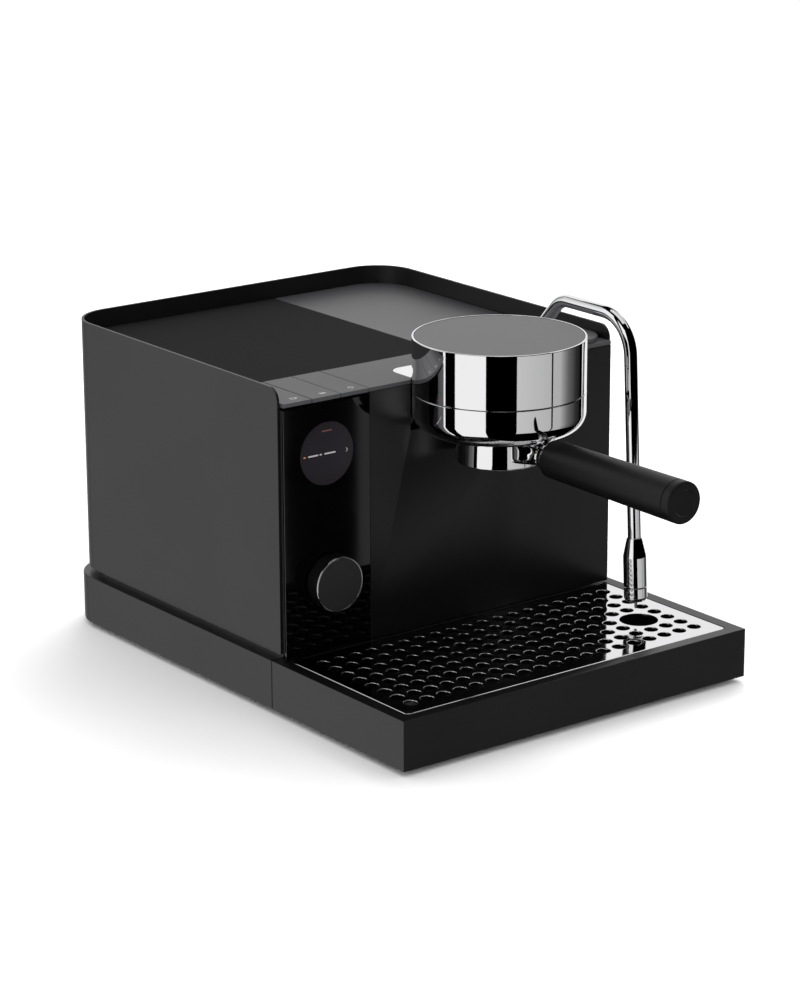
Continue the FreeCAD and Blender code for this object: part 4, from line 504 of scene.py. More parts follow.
# %% Drum, bowl and cap
bowl_low, bowl_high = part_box("head_lower")
block_low, block_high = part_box("group_block")
cap_low, cap_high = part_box("head_cap")
R = HEAD_RADIUS / MM
seam = bowl_high.z / MM
foot = bowl_low.z / MM
top = head_high.z / MM
rim = 1.4
wall = 2.5
mouth = (block_high.x - block_low.x) / 2 / MM + 0.4
turned("head_upper", chrome,
       [(R - 3, seam + 0.3), (R, seam + 0.3), (R, top), (R - rim, top), (R - rim, top - 3),
        (R - 3, top - 3)],
       [0, 0.5, 0.6, 0.2, 0, 0], UPRIGHT_HEAD, around=256)
turned("head_lower", chrome,
       [(R - wall, seam), (R, seam), (R, foot), (mouth, foot), (mouth, foot + wall),
        (R - wall, foot + wall)],
       [0, 0.5, 15.0, 0.5, 0, 12.5], UPRIGHT_HEAD, around=256, step_degrees=6.0)
cap_radius = (cap_high.x - cap_low.x) / 2 / MM
turned("head_cap", cap_grey,
       [(0, cap_low.z / MM), (cap_radius, cap_low.z / MM), (cap_radius, cap_high.z / MM),
        (0, cap_high.z / MM)],
       [0, 0, 0.4, 0], UPRIGHT_HEAD, around=192)
print("head turned, radius", R)

# %% [markdown]
# ## Filter holder and handle
# Below the drum hangs a chrome ring, and a stem joins it to the handle.  The ring is a bevelled copy
# of its CAD mesh; collar, grip and end cap are turned.  The stem changes from a flat bar to a round
# rod, so it is lofted from a row of rounded outlines instead.  The black grip is kept out of
# reflections, so that it doesn't draw a dark spike on the drum and the bands there stay clean.

# %% Ring, basket and handle
ferrule_low, ferrule_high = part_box("pf_ferrule")
end_low, end_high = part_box("pf_end_cap")


def along_handle(front_y):
    """Turns z into the handle's direction, pointing to the front, starting at a place on y."""
    turn = Matrix.Rotation(math.radians(90), 4, "X")
    return Matrix.Translation((HANDLE.x, front_y, HANDLE.z)) @ turn


from_cad("pf_ring", chrome, 0.25, smooth=50)
from_cad("pf_basket", mirror_steel, 0, smooth=50, whole=False)
ferrule_back = (ferrule_high.x - ferrule_low.x) / 2 / MM
collar = (ferrule_high.y - ferrule_low.y) / MM
stem_r = ferrule_back - 4.5
turned("pf_ferrule", chrome,
       [(5, 0), (stem_r + 0.6, 0), (stem_r + 1.8, collar - 7.5), (stem_r + 2.0, collar - 3.2),
        (ferrule_back, collar - 1.2), (ferrule_back, collar), (5, collar)],
       [0, 0.8, 1.5, 1.8, 0.5, 0.3, 0], along_handle(ferrule_high.y), around=128, step_degrees=8)
grip_length = (grip_high.y - grip_low.y) / MM
grip_r = (grip_high.x - grip_low.x) / 2 / MM
grip_piece = turned(
    "pf_grip", grip_black,
    [(5, 0), (grip_r - 1.3, 0), (grip_r - 0.05, grip_length - 0.2), (5, grip_length - 0.2)],
    [0, 2.2, 0.4, 0], along_handle(grip_high.y), around=128, step_degrees=8)
end_length = (end_high.y - end_low.y) / MM
end_r = (end_high.x - end_low.x) / 2 / MM
end_piece = turned(
    "pf_end_cap", grip_black,
    [(0, 0), (end_r, 0), (end_r, end_length), (0.62 * end_r, end_length),
     (0.60 * end_r, end_length - 0.6), (0, end_length - 0.6)],
    [0, 0.4, 1.8, 0.2, 0.2, 0], along_handle(end_high.y), around=128, step_degrees=8)
grip_piece.visible_glossy = False
end_piece.visible_glossy = False
print("handle turned")


# %% The stem, lofted from outlines
def rounded_outline(half_wide, low, high, radius, count):
    """Points round a rounded rectangle, at even angles seen from its middle."""
    points = []
    middle = (high + low) / 2
    half_high = (high - low) / 2
    for step in range(count):
        turn = 2 * math.pi * step / count
        cos, sin = math.cos(turn), math.sin(turn)
        core_x, core_z = half_wide - radius, half_high - radius
        reach_low, reach_high = 0.0, 2 * (half_wide + half_high)
        for _ in range(40):
            reach = (reach_low + reach_high) / 2
            gap_x = max(abs(reach * cos) - core_x, 0)
            gap_z = max(abs(reach * sin) - core_z, 0)
            if math.hypot(gap_x, gap_z) > radius:
                reach_high = reach
            else:
                reach_low = reach
        points.append((reach_low * cos, middle + reach_low * sin))
    return points


def make_stem():
    neck_low, neck_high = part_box("pf_neck")
    steps = 14
    count = 64
    start = neck_high.y
    work = bmesh.new()
    rings = []
    for step in range(steps + 1):
        part = step / steps
        ease = part * part * (3 - 2 * part)
        y = start + (neck_low.y - start) * part
        half_wide = (12.0 + (stem_r - 12.0) * ease) * MM
        low = (-9.0 + (9.0 - stem_r) * ease) * MM
        high = (8.2 + (stem_r - 8.2) * ease) * MM
        radius = (3.2 + (stem_r - 3.25) * ease) * MM
        outline = rounded_outline(half_wide, low, high, radius, count)
        rings.append([work.verts.new((HANDLE.x + x, y, HANDLE.z + z)) for x, z in outline])
    for first, second in zip(rings, rings[1:]):
        for index in range(count):
            following = (index + 1) % count
            work.faces.new((first[index], first[following], second[following], second[index]))
    work.faces.new(rings[0])
    work.faces.new(list(reversed(rings[-1])))
    bmesh.ops.recalc_face_normals(work, faces=work.faces)
    mesh = bpy.data.meshes.new("stem")
    work.to_mesh(mesh)
    work.free()
    smooth_by_angle(mesh, 40)
    return add_piece("pf_neck_form", mesh, chrome, "pf_neck")


stem = make_stem()
print("stem", len(stem.data.polygons), "faces")

# %% [markdown]
# ## Steam wand
# The wand is one bent chrome tube.  A ball at its root sits in a cup, and a sleeve with a screwed
# tip is at the other end.  The tube follows straight runs joined by arcs, and a Geometry Nodes
# tree sweeps it: fillet the corners, then carry a circle along the line.

# %% The line of the wand
cup_low, cup_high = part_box("wand_socket")
tube_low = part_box("wand_tube")[0]
tip_low, tip_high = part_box("wand_tip")
pad_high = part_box("wand_pad")[1]
TUBE_RADIUS = 5.0 * MM
BALL_RADIUS = 9.0 * MM
LEAN = math.radians(3.2)
RISE = math.radians(48)
ball = Vector(((cup_low.x + cup_high.x) / 2, (cup_low.y + cup_high.y) / 2, pad_high.z + 2.0 * MM))
run_z = 271.2 * MM
sleeve_axis_y = (tip_low.y + tip_high.y) / 2 + ((tube_low.z - (tip_low.z + tip_high.z) / 2)) * math.tan(LEAN)
corner_y = sleeve_axis_y + (run_z - tube_low.z) * math.tan(LEAN)
wand_points = [ball, Vector((ball.x, ball.y - (run_z - ball.z) / math.tan(RISE), run_z)),
               Vector((ball.x, corner_y, run_z)), Vector((ball.x, sleeve_axis_y, tube_low.z))]
wand_bends = [0.0, 20.0 * MM, 30.0 * MM, 0.0]
print("wand corners", [tuple(round(c, 4) for c in p) for p in wand_points])


# %% A small helper for Geometry Nodes trees
class Tree:
    """Builds a Geometry Nodes tree: named inputs, nodes by type, one output."""

    def __init__(self, name, inputs):
        self.group = bpy.data.node_groups.new(name, "GeometryNodeTree")
        self.group.interface.new_socket("Geometry", in_out="OUTPUT", socket_type="NodeSocketGeometry")
        self.keys = {}
        for title, kind in inputs:
            made = self.group.interface.new_socket(title, in_out="INPUT", socket_type=kind)
            self.keys[title] = made.identifier
        self.start = self.group.nodes.new("NodeGroupInput")
        self.end = self.group.nodes.new("NodeGroupOutput")

    def given(self, title):
        return self.start.outputs[title]

    def node(self, kind, settings=None, **inputs):
        made = self.group.nodes.new(kind)
        for key, value in (settings or {}).items():
            setattr(made, key, value)
        for key, value in inputs.items():
            title = key.replace("_", " ")
            socket = next(s for s in made.inputs if s.name == title and s.enabled)
            self.put(socket, value)
        return made

    def put(self, socket, value):
        if hasattr(value, "is_output"):
            self.group.links.new(value, socket)
        else:
            socket.default_value = value

    def finish(self, geometry, material):
        real = self.node("GeometryNodeRealizeInstances", Geometry=geometry)
        dressed = self.node("GeometryNodeSetMaterial", Geometry=real.outputs[0], Material=material)
        self.group.links.new(dressed.outputs[0], self.end.inputs[0])

    def made_from(self, source, name, **values):
        """Runs the tree on an object and returns its result as a plain mesh."""
        modifier = source.modifiers.new(name, "NODES")
        modifier.node_group = self.group
        for key, value in values.items():
            modifier[self.keys[key.replace("_", " ")]] = value
        bpy.context.view_layer.update()
        seen = source.evaluated_get(bpy.context.evaluated_depsgraph_get())
        mesh = bpy.data.meshes.new_from_object(seen)
        mesh.name = name
        source.modifiers.remove(modifier)
        return mesh


def working_object(name, data):
    made = bpy.data.objects.new(name, data)
    bpy.context.scene.collection.objects.link(made)
    return made


print("tree helper ready")


# %% Sweep the tube
def tube_tree():
    tree = Tree("bent_tube", [("Geometry", "NodeSocketGeometry"), ("Radius", "NodeSocketFloat"),
                              ("Sides", "NodeSocketInt"), ("Material", "NodeSocketMaterial")])
    bend = tree.node("GeometryNodeInputNamedAttribute", {"data_type": "FLOAT"}, Name="bend")
    line = tree.node("GeometryNodeMeshToCurve", Mesh=tree.given("Geometry"))
    arcs = tree.node("GeometryNodeFilletCurve", {"mode": "POLY"}, Curve=line.outputs[0], Count=24,
                     Radius=bend.outputs[0])
    ring = tree.node("GeometryNodeCurvePrimitiveCircle", Resolution=tree.given("Sides"),
                     Radius=tree.given("Radius"))
    swept = tree.node("GeometryNodeCurveToMesh", Curve=arcs.outputs[0],
                      Profile_Curve=ring.outputs[0], Fill_Caps=True)
    tree.finish(swept.outputs[0], tree.given("Material"))
    return tree


def line_mesh(name, points, bends):
    mesh = bpy.data.meshes.new(name)
    mesh.from_pydata(points, [(i, i + 1) for i in range(len(points) - 1)], [])
    bend = mesh.attributes.new("bend", "FLOAT", "POINT")
    bend.data.foreach_set("value", bends)
    return mesh


def outward(mesh):
    work = bmesh.new()
    work.from_mesh(mesh)
    bmesh.ops.recalc_face_normals(work, faces=work.faces)
    work.to_mesh(mesh)
    work.free()


wand_line = working_object("wand_line", line_mesh("wand_line", wand_points, wand_bends))
tube_mesh = tube_tree().made_from(wand_line, "wand_tube_form", Radius=TUBE_RADIUS, Sides=48,
                                  Material=chrome)
bpy.data.objects.remove(wand_line)
work = bmesh.new()
work.from_mesh(tube_mesh)
bmesh.ops.create_uvsphere(work, u_segments=64, v_segments=32, radius=BALL_RADIUS,
                          matrix=Matrix.Translation(ball))
work.to_mesh(tube_mesh)
work.free()
outward(tube_mesh)
smooth_by_angle(tube_mesh, 60)
tube_piece = add_piece("wand_tube_form", tube_mesh, chrome, "wand_tube")
print("wand tube", len(tube_mesh.polygons), "faces", [round(v, 4) for v in tube_piece.dimensions])


# %% Sleeve, tip, probe and cup
def along_wand(z):
    """Turns +z down the falling tube, from a height on its axis."""
    y = sleeve_axis_y + (z - tube_low.z) * math.tan(LEAN)
    return Matrix.Translation((ball.x, y, z)) @ Matrix.Rotation(math.pi - LEAN, 4, "X")


SLEEVE_RADIUS = 8.8
CONE = 14.0
sleeve_top = tube_low.z + CONE * MM
down = (sleeve_top - tip_high.z) / MM
turned("wand_sleeve", chrome,
       [(4.6, 0), (5.7, 0), (SLEEVE_RADIUS, CONE), (SLEEVE_RADIUS, down), (4.6, down)],
       [0, 0.4, 9.0, 0.35, 0], along_wand(sleeve_top), around=96, step_degrees=6)
tip_end = down + 0.5 + 11.0
turned("wand_tip", chrome,
       [(1.1, down + 0.5), (SLEEVE_RADIUS, down + 0.5), (SLEEVE_RADIUS, tip_end), (1.1, tip_end)],
       [0, 0.4, 3.5, 0.3], along_wand(sleeve_top), around=96, step_degrees=6)
turned("wand_probe", steel,
       [(0, down + 2), (1.1, down + 2), (1.1, tip_end + 6), (0, tip_end + 6)],
       [0, 0, 0.8, 0], along_wand(sleeve_top), around=32)
from_cad("wand_socket", strip_grey, 0.4, smooth=50)
print("wand end made")

# %% [markdown]
# ## Drip plate
# The plate is a mirror-polished sheet with a punched grid.  Each punch leaves a rounded lip, and
# the lips are what sparkle.  One square tile with its lipped hole is made once, and Geometry Nodes
# set it on every place of the grid except where the large hole for the wand is.

# %% Sizes of the grid
PITCH = 14.8 * MM
HOLE = 5.1 * MM
WAND_HOLE = 14.5 * MM
COLUMNS, ROWS = 19, 8
plate_mid = (plate_low + plate_high) / 2
wand_hole_at = Vector((plate_mid.x + (16.5 - (COLUMNS - 1) / 2) * PITCH,
                       plate_mid.y + (2.5 - (ROWS - 1) / 2) * PITCH, plate_high.z))
EDGE_TURNS = [math.tan(math.radians(11.25 * step)) for step in range(-4, 4)]


def square_outline(half, cells=1):
    """Points round a square; each cell's side is cut where rays at even angles meet it."""
    side = []
    cell = half / cells
    for index in range(cells):
        middle = -half + cell * (2 * index + 1)
        side += [(middle + cell * turn, -half) for turn in EDGE_TURNS]
    outline = []
    for quarter in range(4):
        cos, sin = (1, 0, -1, 0)[quarter], (0, 1, 0, -1)[quarter]
        outline += [(x * cos - y * sin, x * sin + y * cos) for x, y in side]
    return outline


def hole_tile(work, centre, half, radius, lip, cells=1):
    """A flat square with a round hole; the upper edge of the hole is rounded."""
    outline = square_outline(half, cells)
    top, bottom = plate_high.z, plate_low.z
    rows = [[(centre.x + x, centre.y + y, top) for x, y in outline]]
    steps = 4
    rings = [(radius + lip * (1 - math.sin(math.pi / 2 * s / steps)),
              top - lip * (1 - math.cos(math.pi / 2 * s / steps))) for s in range(steps + 1)]
    rings.append((radius, bottom))
    for reach, height in rings:
        ring = []
        for x, y in outline:
            size = math.hypot(x, y)
            ring.append((centre.x + x / size * reach, centre.y + y / size * reach, height))
        rows.append(ring)
    rows.append([(centre.x + x, centre.y + y, bottom) for x, y in outline])
    verts = [[work.verts.new(point) for point in row] for row in rows]
    for first, second in zip(verts, verts[1:]):
        for index in range(len(outline)):
            following = (index + 1) % len(outline)
            work.faces.new((first[index], second[index], second[following], first[following]))


tile_work = bmesh.new()
hole_tile(tile_work, Vector((0, 0, 0)), PITCH / 2, HOLE, 0.55 * MM)
bmesh.ops.reverse_faces(tile_work, faces=tile_work.faces)
tile_mesh = bpy.data.meshes.new("plate_tile")
tile_work.to_mesh(tile_mesh)
tile_work.free()
print("tile", len(tile_mesh.polygons), "faces")


# %% The plate's border and the large hole
def plate_border(work):
    """Four flat strips round the grid on both faces, and the plate's rounded edge."""
    half_x, half_y = COLUMNS * PITCH / 2, ROWS * PITCH / 2
    size_x = (plate_high.x - plate_low.x) / 2
    size_y = (plate_high.y - plate_low.y) / 2
    corner = 3.0 * MM
    ease = 0.9 * MM

    def outer(inset, height):
        radius = corner - inset
        ring = []
        for quarter, (sx, sy) in enumerate(((1, -1), (1, 1), (-1, 1), (-1, -1))):
            for step in range(9):
                turn = math.radians(-90 + 90 * quarter + 90 * step / 8)
                x = sx * (size_x - corner) + radius * math.cos(turn)
                y = sy * (size_y - corner) + radius * math.sin(turn)
                ring.append(work.verts.new((plate_mid.x + x, plate_mid.y + y, height)))
        return ring

    sides = []
    for count in (COLUMNS, ROWS):
        middle = [(-count / 2 + index + 0.5) * PITCH for index in range(count)]
        sides.append([m + PITCH / 2 * turn for m in middle for turn in EDGE_TURNS] + [count / 2 * PITCH])
    along_x, along_y = sides

    def inner(height):
        front = [(x, -half_y) for x in along_x[:-1]]
        right = [(half_x, y) for y in along_y[:-1]]
        back = [(-x, half_y) for x in along_x[:-1]]
        left = [(-half_x, -y) for y in along_y[:-1]]
        rows = [[work.verts.new((plate_mid.x + x, plate_mid.y + y, height)) for x, y in row]
                for row in (front, right, back, left)]
        return rows

    top, bottom = plate_high.z, plate_low.z
    layers = [outer(ease * (1 - math.sin(math.pi / 2 * s / 4)),
                    top - ease * (1 - math.cos(math.pi / 2 * s / 4))) for s in range(5)]
    layers.append(outer(0, bottom))
    for first, second in zip(layers, layers[1:]):
        for index in range(len(first)):
            following = (index + 1) % len(first)
            work.faces.new((first[index], second[index], second[following], first[following]))
    for ring, height, up in ((layers[0], top, True), (layers[-1], bottom, False)):
        rows = inner(height)
        for quarter in range(4):
            side = rows[quarter] + [rows[(quarter + 1) % 4][0]]
            first = quarter * 9 - 5
            edge = [ring[(first + step) % 36] for step in range(10)]
            face = side + list(reversed(edge))
            work.faces.new(face if not up else list(reversed(face)))


border_work = bmesh.new()
plate_border(border_work)
hole_tile(border_work, Vector((wand_hole_at.x, wand_hole_at.y, 0)), PITCH, WAND_HOLE, 0.28 * MM, cells=2)
bmesh.ops.recalc_face_normals(border_work, faces=border_work.faces)
border_mesh = bpy.data.meshes.new("plate_border")
border_work.to_mesh(border_mesh)
border_work.free()
print("border", len(border_mesh.polygons), "faces")


# %% Set the tiles
def plate_tree():
    tree = Tree("punched_plate", [("Geometry", "NodeSocketGeometry"), ("Tile", "NodeSocketObject"),
                                  ("Columns", "NodeSocketInt"), ("Rows", "NodeSocketInt"),
                                  ("Length", "NodeSocketFloat"), ("Depth", "NodeSocketFloat"),
                                  ("Centre", "NodeSocketVector"), ("Large hole", "NodeSocketVector"),
                                  ("Keep clear", "NodeSocketFloat"), ("Material", "NodeSocketMaterial")])
    grid = tree.node("GeometryNodeMeshGrid", Size_X=tree.given("Length"), Size_Y=tree.given("Depth"),
                     Vertices_X=tree.given("Columns"), Vertices_Y=tree.given("Rows"))
    moved = tree.node("GeometryNodeSetPosition", Geometry=grid.outputs[0], Offset=tree.given("Centre"))
    where = tree.node("GeometryNodeInputPosition")
    away = tree.node("ShaderNodeVectorMath", {"operation": "DISTANCE"})
    tree.put(away.inputs[0], where.outputs[0])
    tree.put(away.inputs[1], tree.given("Large hole"))
    near = tree.node("FunctionNodeCompare", {"data_type": "FLOAT", "operation": "GREATER_THAN"})
    tree.put(near.inputs[0], away.outputs["Value"])
    tree.put(near.inputs[1], tree.given("Keep clear"))
    tile = tree.node("GeometryNodeObjectInfo", Object=tree.given("Tile"))
    placed = tree.node("GeometryNodeInstanceOnPoints", Points=moved.outputs[0],
                       Selection=near.outputs[0], Instance=tile.outputs["Geometry"])
    real = tree.node("GeometryNodeRealizeInstances", Geometry=placed.outputs[0])
    both = tree.node("GeometryNodeJoinGeometry")
    tree.group.links.new(real.outputs[0], both.inputs[0])
    tree.group.links.new(tree.given("Geometry"), both.inputs[0])
    merged = tree.node("GeometryNodeMergeByDistance", Geometry=both.outputs[0], Distance=0.005 * MM)
    tree.finish(merged.outputs[0], tree.given("Material"))
    return tree


tile_object = working_object("plate_tile", tile_mesh)
border_object = working_object("plate_border", border_mesh)
plate_mesh = plate_tree().made_from(
    border_object, "drip_plate_form", Tile=tile_object, Columns=COLUMNS, Rows=ROWS,
    Length=(COLUMNS - 1) * PITCH, Depth=(ROWS - 1) * PITCH,
    Centre=Vector((plate_mid.x, plate_mid.y, 0)), Large_hole=Vector((wand_hole_at.x, wand_hole_at.y, 0)),
    Keep_clear=PITCH, Material=mirror_steel)
bpy.data.objects.remove(tile_object)
bpy.data.objects.remove(border_object)
outward(plate_mesh)
smooth_by_angle(plate_mesh, 35)
plate_piece = add_piece("drip_plate_form", plate_mesh, mirror_steel, "drip_plate")
flatten(plate_piece, 100)
print("plate", len(plate_mesh.polygons), "faces")

# %% [markdown]
# ## Knob and display
# The knob is a shallow cap with a separate, slightly sunk face.  A narrow polished chamfer round its
# rim is the bright ring that shows where its front is.

# %% Knob
knob_low, knob_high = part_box("knob")
knob_x, knob_z = (knob_low.x + knob_high.x) / 2, (knob_low.z + knob_high.z) / 2
knob_radius = (knob_high.x - knob_low.x) / 2 / MM
knob_depth = (knob_high.y - knob_low.y) / MM
behind_face = Matrix.Translation((knob_x, knob_low.y, knob_z)) @ Matrix.Rotation(math.radians(-90), 4, "X")
shaft_r = 3.0 + 0.05
bore_end = 3.6
polished_front = 0.45 * MM
knob_section = [(knob_radius - 1.0, 1.6), (knob_radius - 1.0, 0), (knob_radius, 0),
                (knob_radius, knob_depth), (shaft_r, knob_depth), (shaft_r, bore_end), (0, bore_end),
                (0, 1.6)]
knob_piece = turned("knob", knob_black, knob_section, [0, 0.15, 0.6, 0.8, 0.3, 0, 0, 0], behind_face,
                    around=128)
knob_piece.data.materials.append(mirror_steel)
for face in knob_piece.data.polygons:
    if face.center.y < knob_low.y + polished_front:
        face.material_index = 1
turned("knob_face", knob_face_grey,
       [(0, 0.2), (knob_radius - 1.06, 0.2), (knob_radius - 1.06, 1.6), (0, 1.6)],
       [0, 0.15, 0, 0], behind_face, around=128)
print("knob radius", round(knob_radius, 2))


# %% A thin flat mark
def flat_mark(name, outlines, place, material, node, thick=0.05):
    """Thin raised shapes from closed outlines in millimetres, set on a face."""
    work = bmesh.new()
    for outline in outlines:
        low = [work.verts.new((x * MM, y * MM, 0)) for x, y in outline]
        high = [work.verts.new((x * MM, y * MM, thick * MM)) for x, y in outline]
        count = len(outline)
        for index in range(count):
            following = (index + 1) % count
            work.faces.new((low[index], low[following], high[following], high[index]))
        work.faces.new(high)
        work.faces.new(list(reversed(low)))
    bmesh.ops.recalc_face_normals(work, faces=work.faces)
    mesh = bpy.data.meshes.new(name)
    work.to_mesh(mesh)
    work.free()
    mesh.transform(place)
    return add_piece(name, mesh, material, node, replaces=False)


def stroke(points, width):
    """A line of even width with square ends, as one outline."""
    left, right = [], []
    for index, (x, y) in enumerate(points):
        x0, y0 = points[max(index - 1, 0)]
        x1, y1 = points[min(index + 1, len(points) - 1)]
        size = math.hypot(x1 - x0, y1 - y0)
        nx, ny = -(y1 - y0) / size * width / 2, (x1 - x0) / size * width / 2
        left.append((x + nx, y + ny))
        right.append((x - nx, y - ny))
    return left + list(reversed(right))


def arc(cx, cy, radius, start, end, steps=16):
    turns = [math.radians(start + (end - start) * step / steps) for step in range(steps + 1)]
    return [(cx + radius * math.cos(t), cy + radius * math.sin(t)) for t in turns]


print("marks ready")

# %% [markdown]
# ## Signs on the keys and the display
# Small printed signs say what the keys do.  They are generic: a cup, a wave and a ring.  The
# display shows only neutral bars, with a small marker at each side.

# %% Key signs
key_signs = {
    "key_1": [stroke([(-2.2, 1.6), (-1.8, -1.2), (-1.2, -1.6), (1.2, -1.6), (1.8, -1.2), (2.2, 1.6),
                      (-2.2, 1.6)], 0.45),
              stroke(arc(2.3, 0.2, 1.1, -80, 80, 10), 0.4)],
    "key_2": [stroke([(-2.4 + 0.3 * s, 0.9 * math.sin(s * 0.785)) for s in range(17)], 0.5),
              stroke([(-2.4 + 0.3 * s, -1.7 + 0.9 * math.sin(s * 0.785)) for s in range(17)], 0.4)],
    "key_3": [stroke(arc(0, 0, 1.9, 115, 425, 28), 0.45), stroke([(0, 0.6), (0, 2.6)], 0.45)],
}
for node, outlines in key_signs.items():
    low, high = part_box(node)
    at = Matrix.Translation(((low.x + high.x) / 2 + 2.8 * MM, low.y + 9.5 * MM, high.z))
    flat_mark(node + "_sign", outlines, at, pale_ink, node)
print("key signs", list(key_signs))

# %% Display
lens_low, lens_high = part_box("display_lens")
lens_mid = (lens_low + lens_high) / 2
lens_r = (lens_high.x - lens_low.x) / 2 / MM
facing_front = Matrix.Rotation(math.radians(90), 4, "X")
on_lens = Matrix.Translation((lens_mid.x, lens_low.y, lens_mid.z)) @ facing_front
on_glass = Matrix.Translation((lens_mid.x, lens_high.y, lens_mid.z)) @ facing_front
lens_t = (lens_high.y - lens_low.y) / MM
turned("display_lens", display_face, [(0, 0), (lens_r, 0), (lens_r, lens_t), (0, lens_t)],
       [0, 0, 0.25, 0], on_glass, around=128)


def bar(x, y, width, height):
    r = height / 2
    return arc(x + width / 2 - r, y, r, -90, 90, 8) + arc(x - width / 2 + r, y, r, 90, 270, 8)


flat_mark("display_words", [bar(-12.2, 0, 9.0, 1.1), bar(-5.6, 0, 2.0, 1.1), bar(2.6, 0, 10.0, 1.1)],
          on_lens, lamp_white, "display_lens", 0.04)
flat_mark("display_marker", [bar(-19.8, 0, 2.2, 1.1)], on_lens, lamp_orange, "display_lens", 0.04)
flat_mark("display_arrow", [stroke([(17.0, 1.4), (18.3, 0), (17.0, -1.4)], 0.5)], on_lens, lamp_white,
          "display_lens", 0.04)
flat_mark("display_status", [bar(0, 17.0, 9.0, 1.0)], on_lens, lamp_dim, "display_lens", 0.04)
print("display radius", round(lens_r, 2))

# %% [markdown]
# ## Screws at the back
# Slotted screws hold the shell to its frame and the plate under the base.  One head with a
# rounded edge and a slot is made once and set on every place that the CAD screws have.

# %% One screw head, set by nodes
def screw_head(name, radius=3.4, height=1.8, slot=0.5, depth=0.7):
    mesh = turned_mesh(name, [(0, 0), (radius, 0), (radius, height), (0, height)], [0, 0, 0.7, 0],
                       Matrix.Identity(4), around=40, step_degrees=18)
    work = bmesh.new()
    work.from_mesh(mesh)
    cut_low, cut_high = -slot * MM, slot * MM
    for place in (cut_low, cut_high):
        bmesh.ops.bisect_plane(work, geom=work.verts[:] + work.edges[:] + work.faces[:],
                               plane_co=(0, place, 0), plane_no=(0, 1, 0), dist=1e-7)
    floor = [f for f in work.faces if abs(f.calc_center_median().y) < slot * MM
             and f.calc_center_median().z > (height - depth) * MM]
    region = bmesh.ops.extrude_face_region(work, geom=floor)
    moved = [g for g in region["geom"] if isinstance(g, bmesh.types.BMVert)]
    for vert in moved:
        vert.co.z = min(vert.co.z, (height - depth) * MM)
    bmesh.ops.delete(work, geom=floor, context="FACES_ONLY")
    bmesh.ops.recalc_face_normals(work, faces=work.faces)
    work.to_mesh(mesh)
    work.free()
    return mesh


def screws_tree():
    tree = Tree("screw_heads", [("Geometry", "NodeSocketGeometry"), ("Head", "NodeSocketObject"),
                                ("Material", "NodeSocketMaterial")])
    points = tree.node("GeometryNodeMeshToPoints", Mesh=tree.given("Geometry"))
    facing = tree.node("GeometryNodeInputNamedAttribute", {"data_type": "FLOAT_VECTOR"}, Name="facing")
    turn = tree.node("FunctionNodeAlignRotationToVector", {"axis": "Z"}, Vector=facing.outputs[0])
    head = tree.node("GeometryNodeObjectInfo", Object=tree.given("Head"))
    placed = tree.node("GeometryNodeInstanceOnPoints", Points=points.outputs[0],
                       Instance=head.outputs["Geometry"], Rotation=turn.outputs[0])
    tree.finish(placed.outputs[0], tree.given("Material"))
    return tree


def screw_places():
    """Centre and direction of each CAD screw, from its own loose part."""
    work = bmesh.new()
    work.from_mesh(frame["nodes"]["screws"].data)
    bmesh.ops.remove_doubles(work, verts=work.verts, dist=0.002 * MM)
    seen, places, facing = set(), [], []
    for vert in work.verts:
        if vert in seen:
            continue
        part, queue = [], [vert]
        seen.add(vert)
        while queue:
            now = queue.pop()
            part.append(now.co.copy())
            for edge in now.link_edges:
                other = edge.other_vert(now)
                if other not in seen:
                    seen.add(other)
                    queue.append(other)
        low = Vector([min(c[i] for c in part) for i in range(3)])
        high = Vector([max(c[i] for c in part) for i in range(3)])
        middle = (low + high) / 2
        if high.z - low.z < high.y - low.y:
            places.append((middle.x, middle.y, high.z))
            facing.append((0, 0, -1))
        else:
            places.append((middle.x, low.y, middle.z))
            facing.append((0, 1, 0))
    work.free()
    return places, facing


places, facing = screw_places()
screw_points = bpy.data.meshes.new("screw_points")
screw_points.from_pydata(places, [], [])
direction = screw_points.attributes.new("facing", "FLOAT_VECTOR", "POINT")
direction.data.foreach_set("vector", [c for way in facing for c in way])
points_object = working_object("screw_points", screw_points)
head_object = working_object("screw_head", screw_head("screw_head"))
screw_mesh = screws_tree().made_from(points_object, "screws_form", Head=head_object, Material=steel)
bpy.data.objects.remove(points_object)
bpy.data.objects.remove(head_object)
smooth_by_angle(screw_mesh, 35)
add_piece("screws_form", screw_mesh, steel, "screws")
print(len(places), "screws")

# %% [markdown]
# ## Parts that keep their CAD form
# Parts deep inside, or simple in form, keep the exact CAD mesh and only get a finish.

# %% Finishes for the remaining nodes
kept_parts = {
    "base_plate": powder_black, "feet": soft_rubber, "frame": steel, "display_module": black_plastic,
    "key_axle": steel, "key_board": board_green, "knob_encoder": black_plastic, "knob_shaft": steel,
    "group_block": brass, "group_arm": cast_steel, "group_gasket": soft_rubber,
    "shower_screen": mirror_steel, "screen_screw": steel, "pf_rod": steel, "tray_float": black_plastic,
    "water_tank": tank_plastic, "tank_valve": black_plastic, "tank_seat": black_plastic,
    "boiler": steel, "pump": black_plastic, "pump_mounts": soft_rubber, "solenoid_valves": brass,
    "main_board": board_green, "power_inlet": black_plastic, "water_tubes": tube_white,
    "flow_meter": black_plastic,
}
for node, material in kept_parts.items():
    mesh_slots = frame["nodes"][node].material_slots
    for mesh_slot in mesh_slots:
        mesh_slot.material = material
print(len(kept_parts), "CAD parts dressed")

# %% [markdown]
# ## Room and light
# The machine stands on white paper in a bright room.  Polished parts show what stands around
# them, so the set has a ring of white and grey cards that only reflections can see, with dark gaps
# between them.  The floor and the lamps light the machine, and the cards shape the bands that run
# down the chrome.

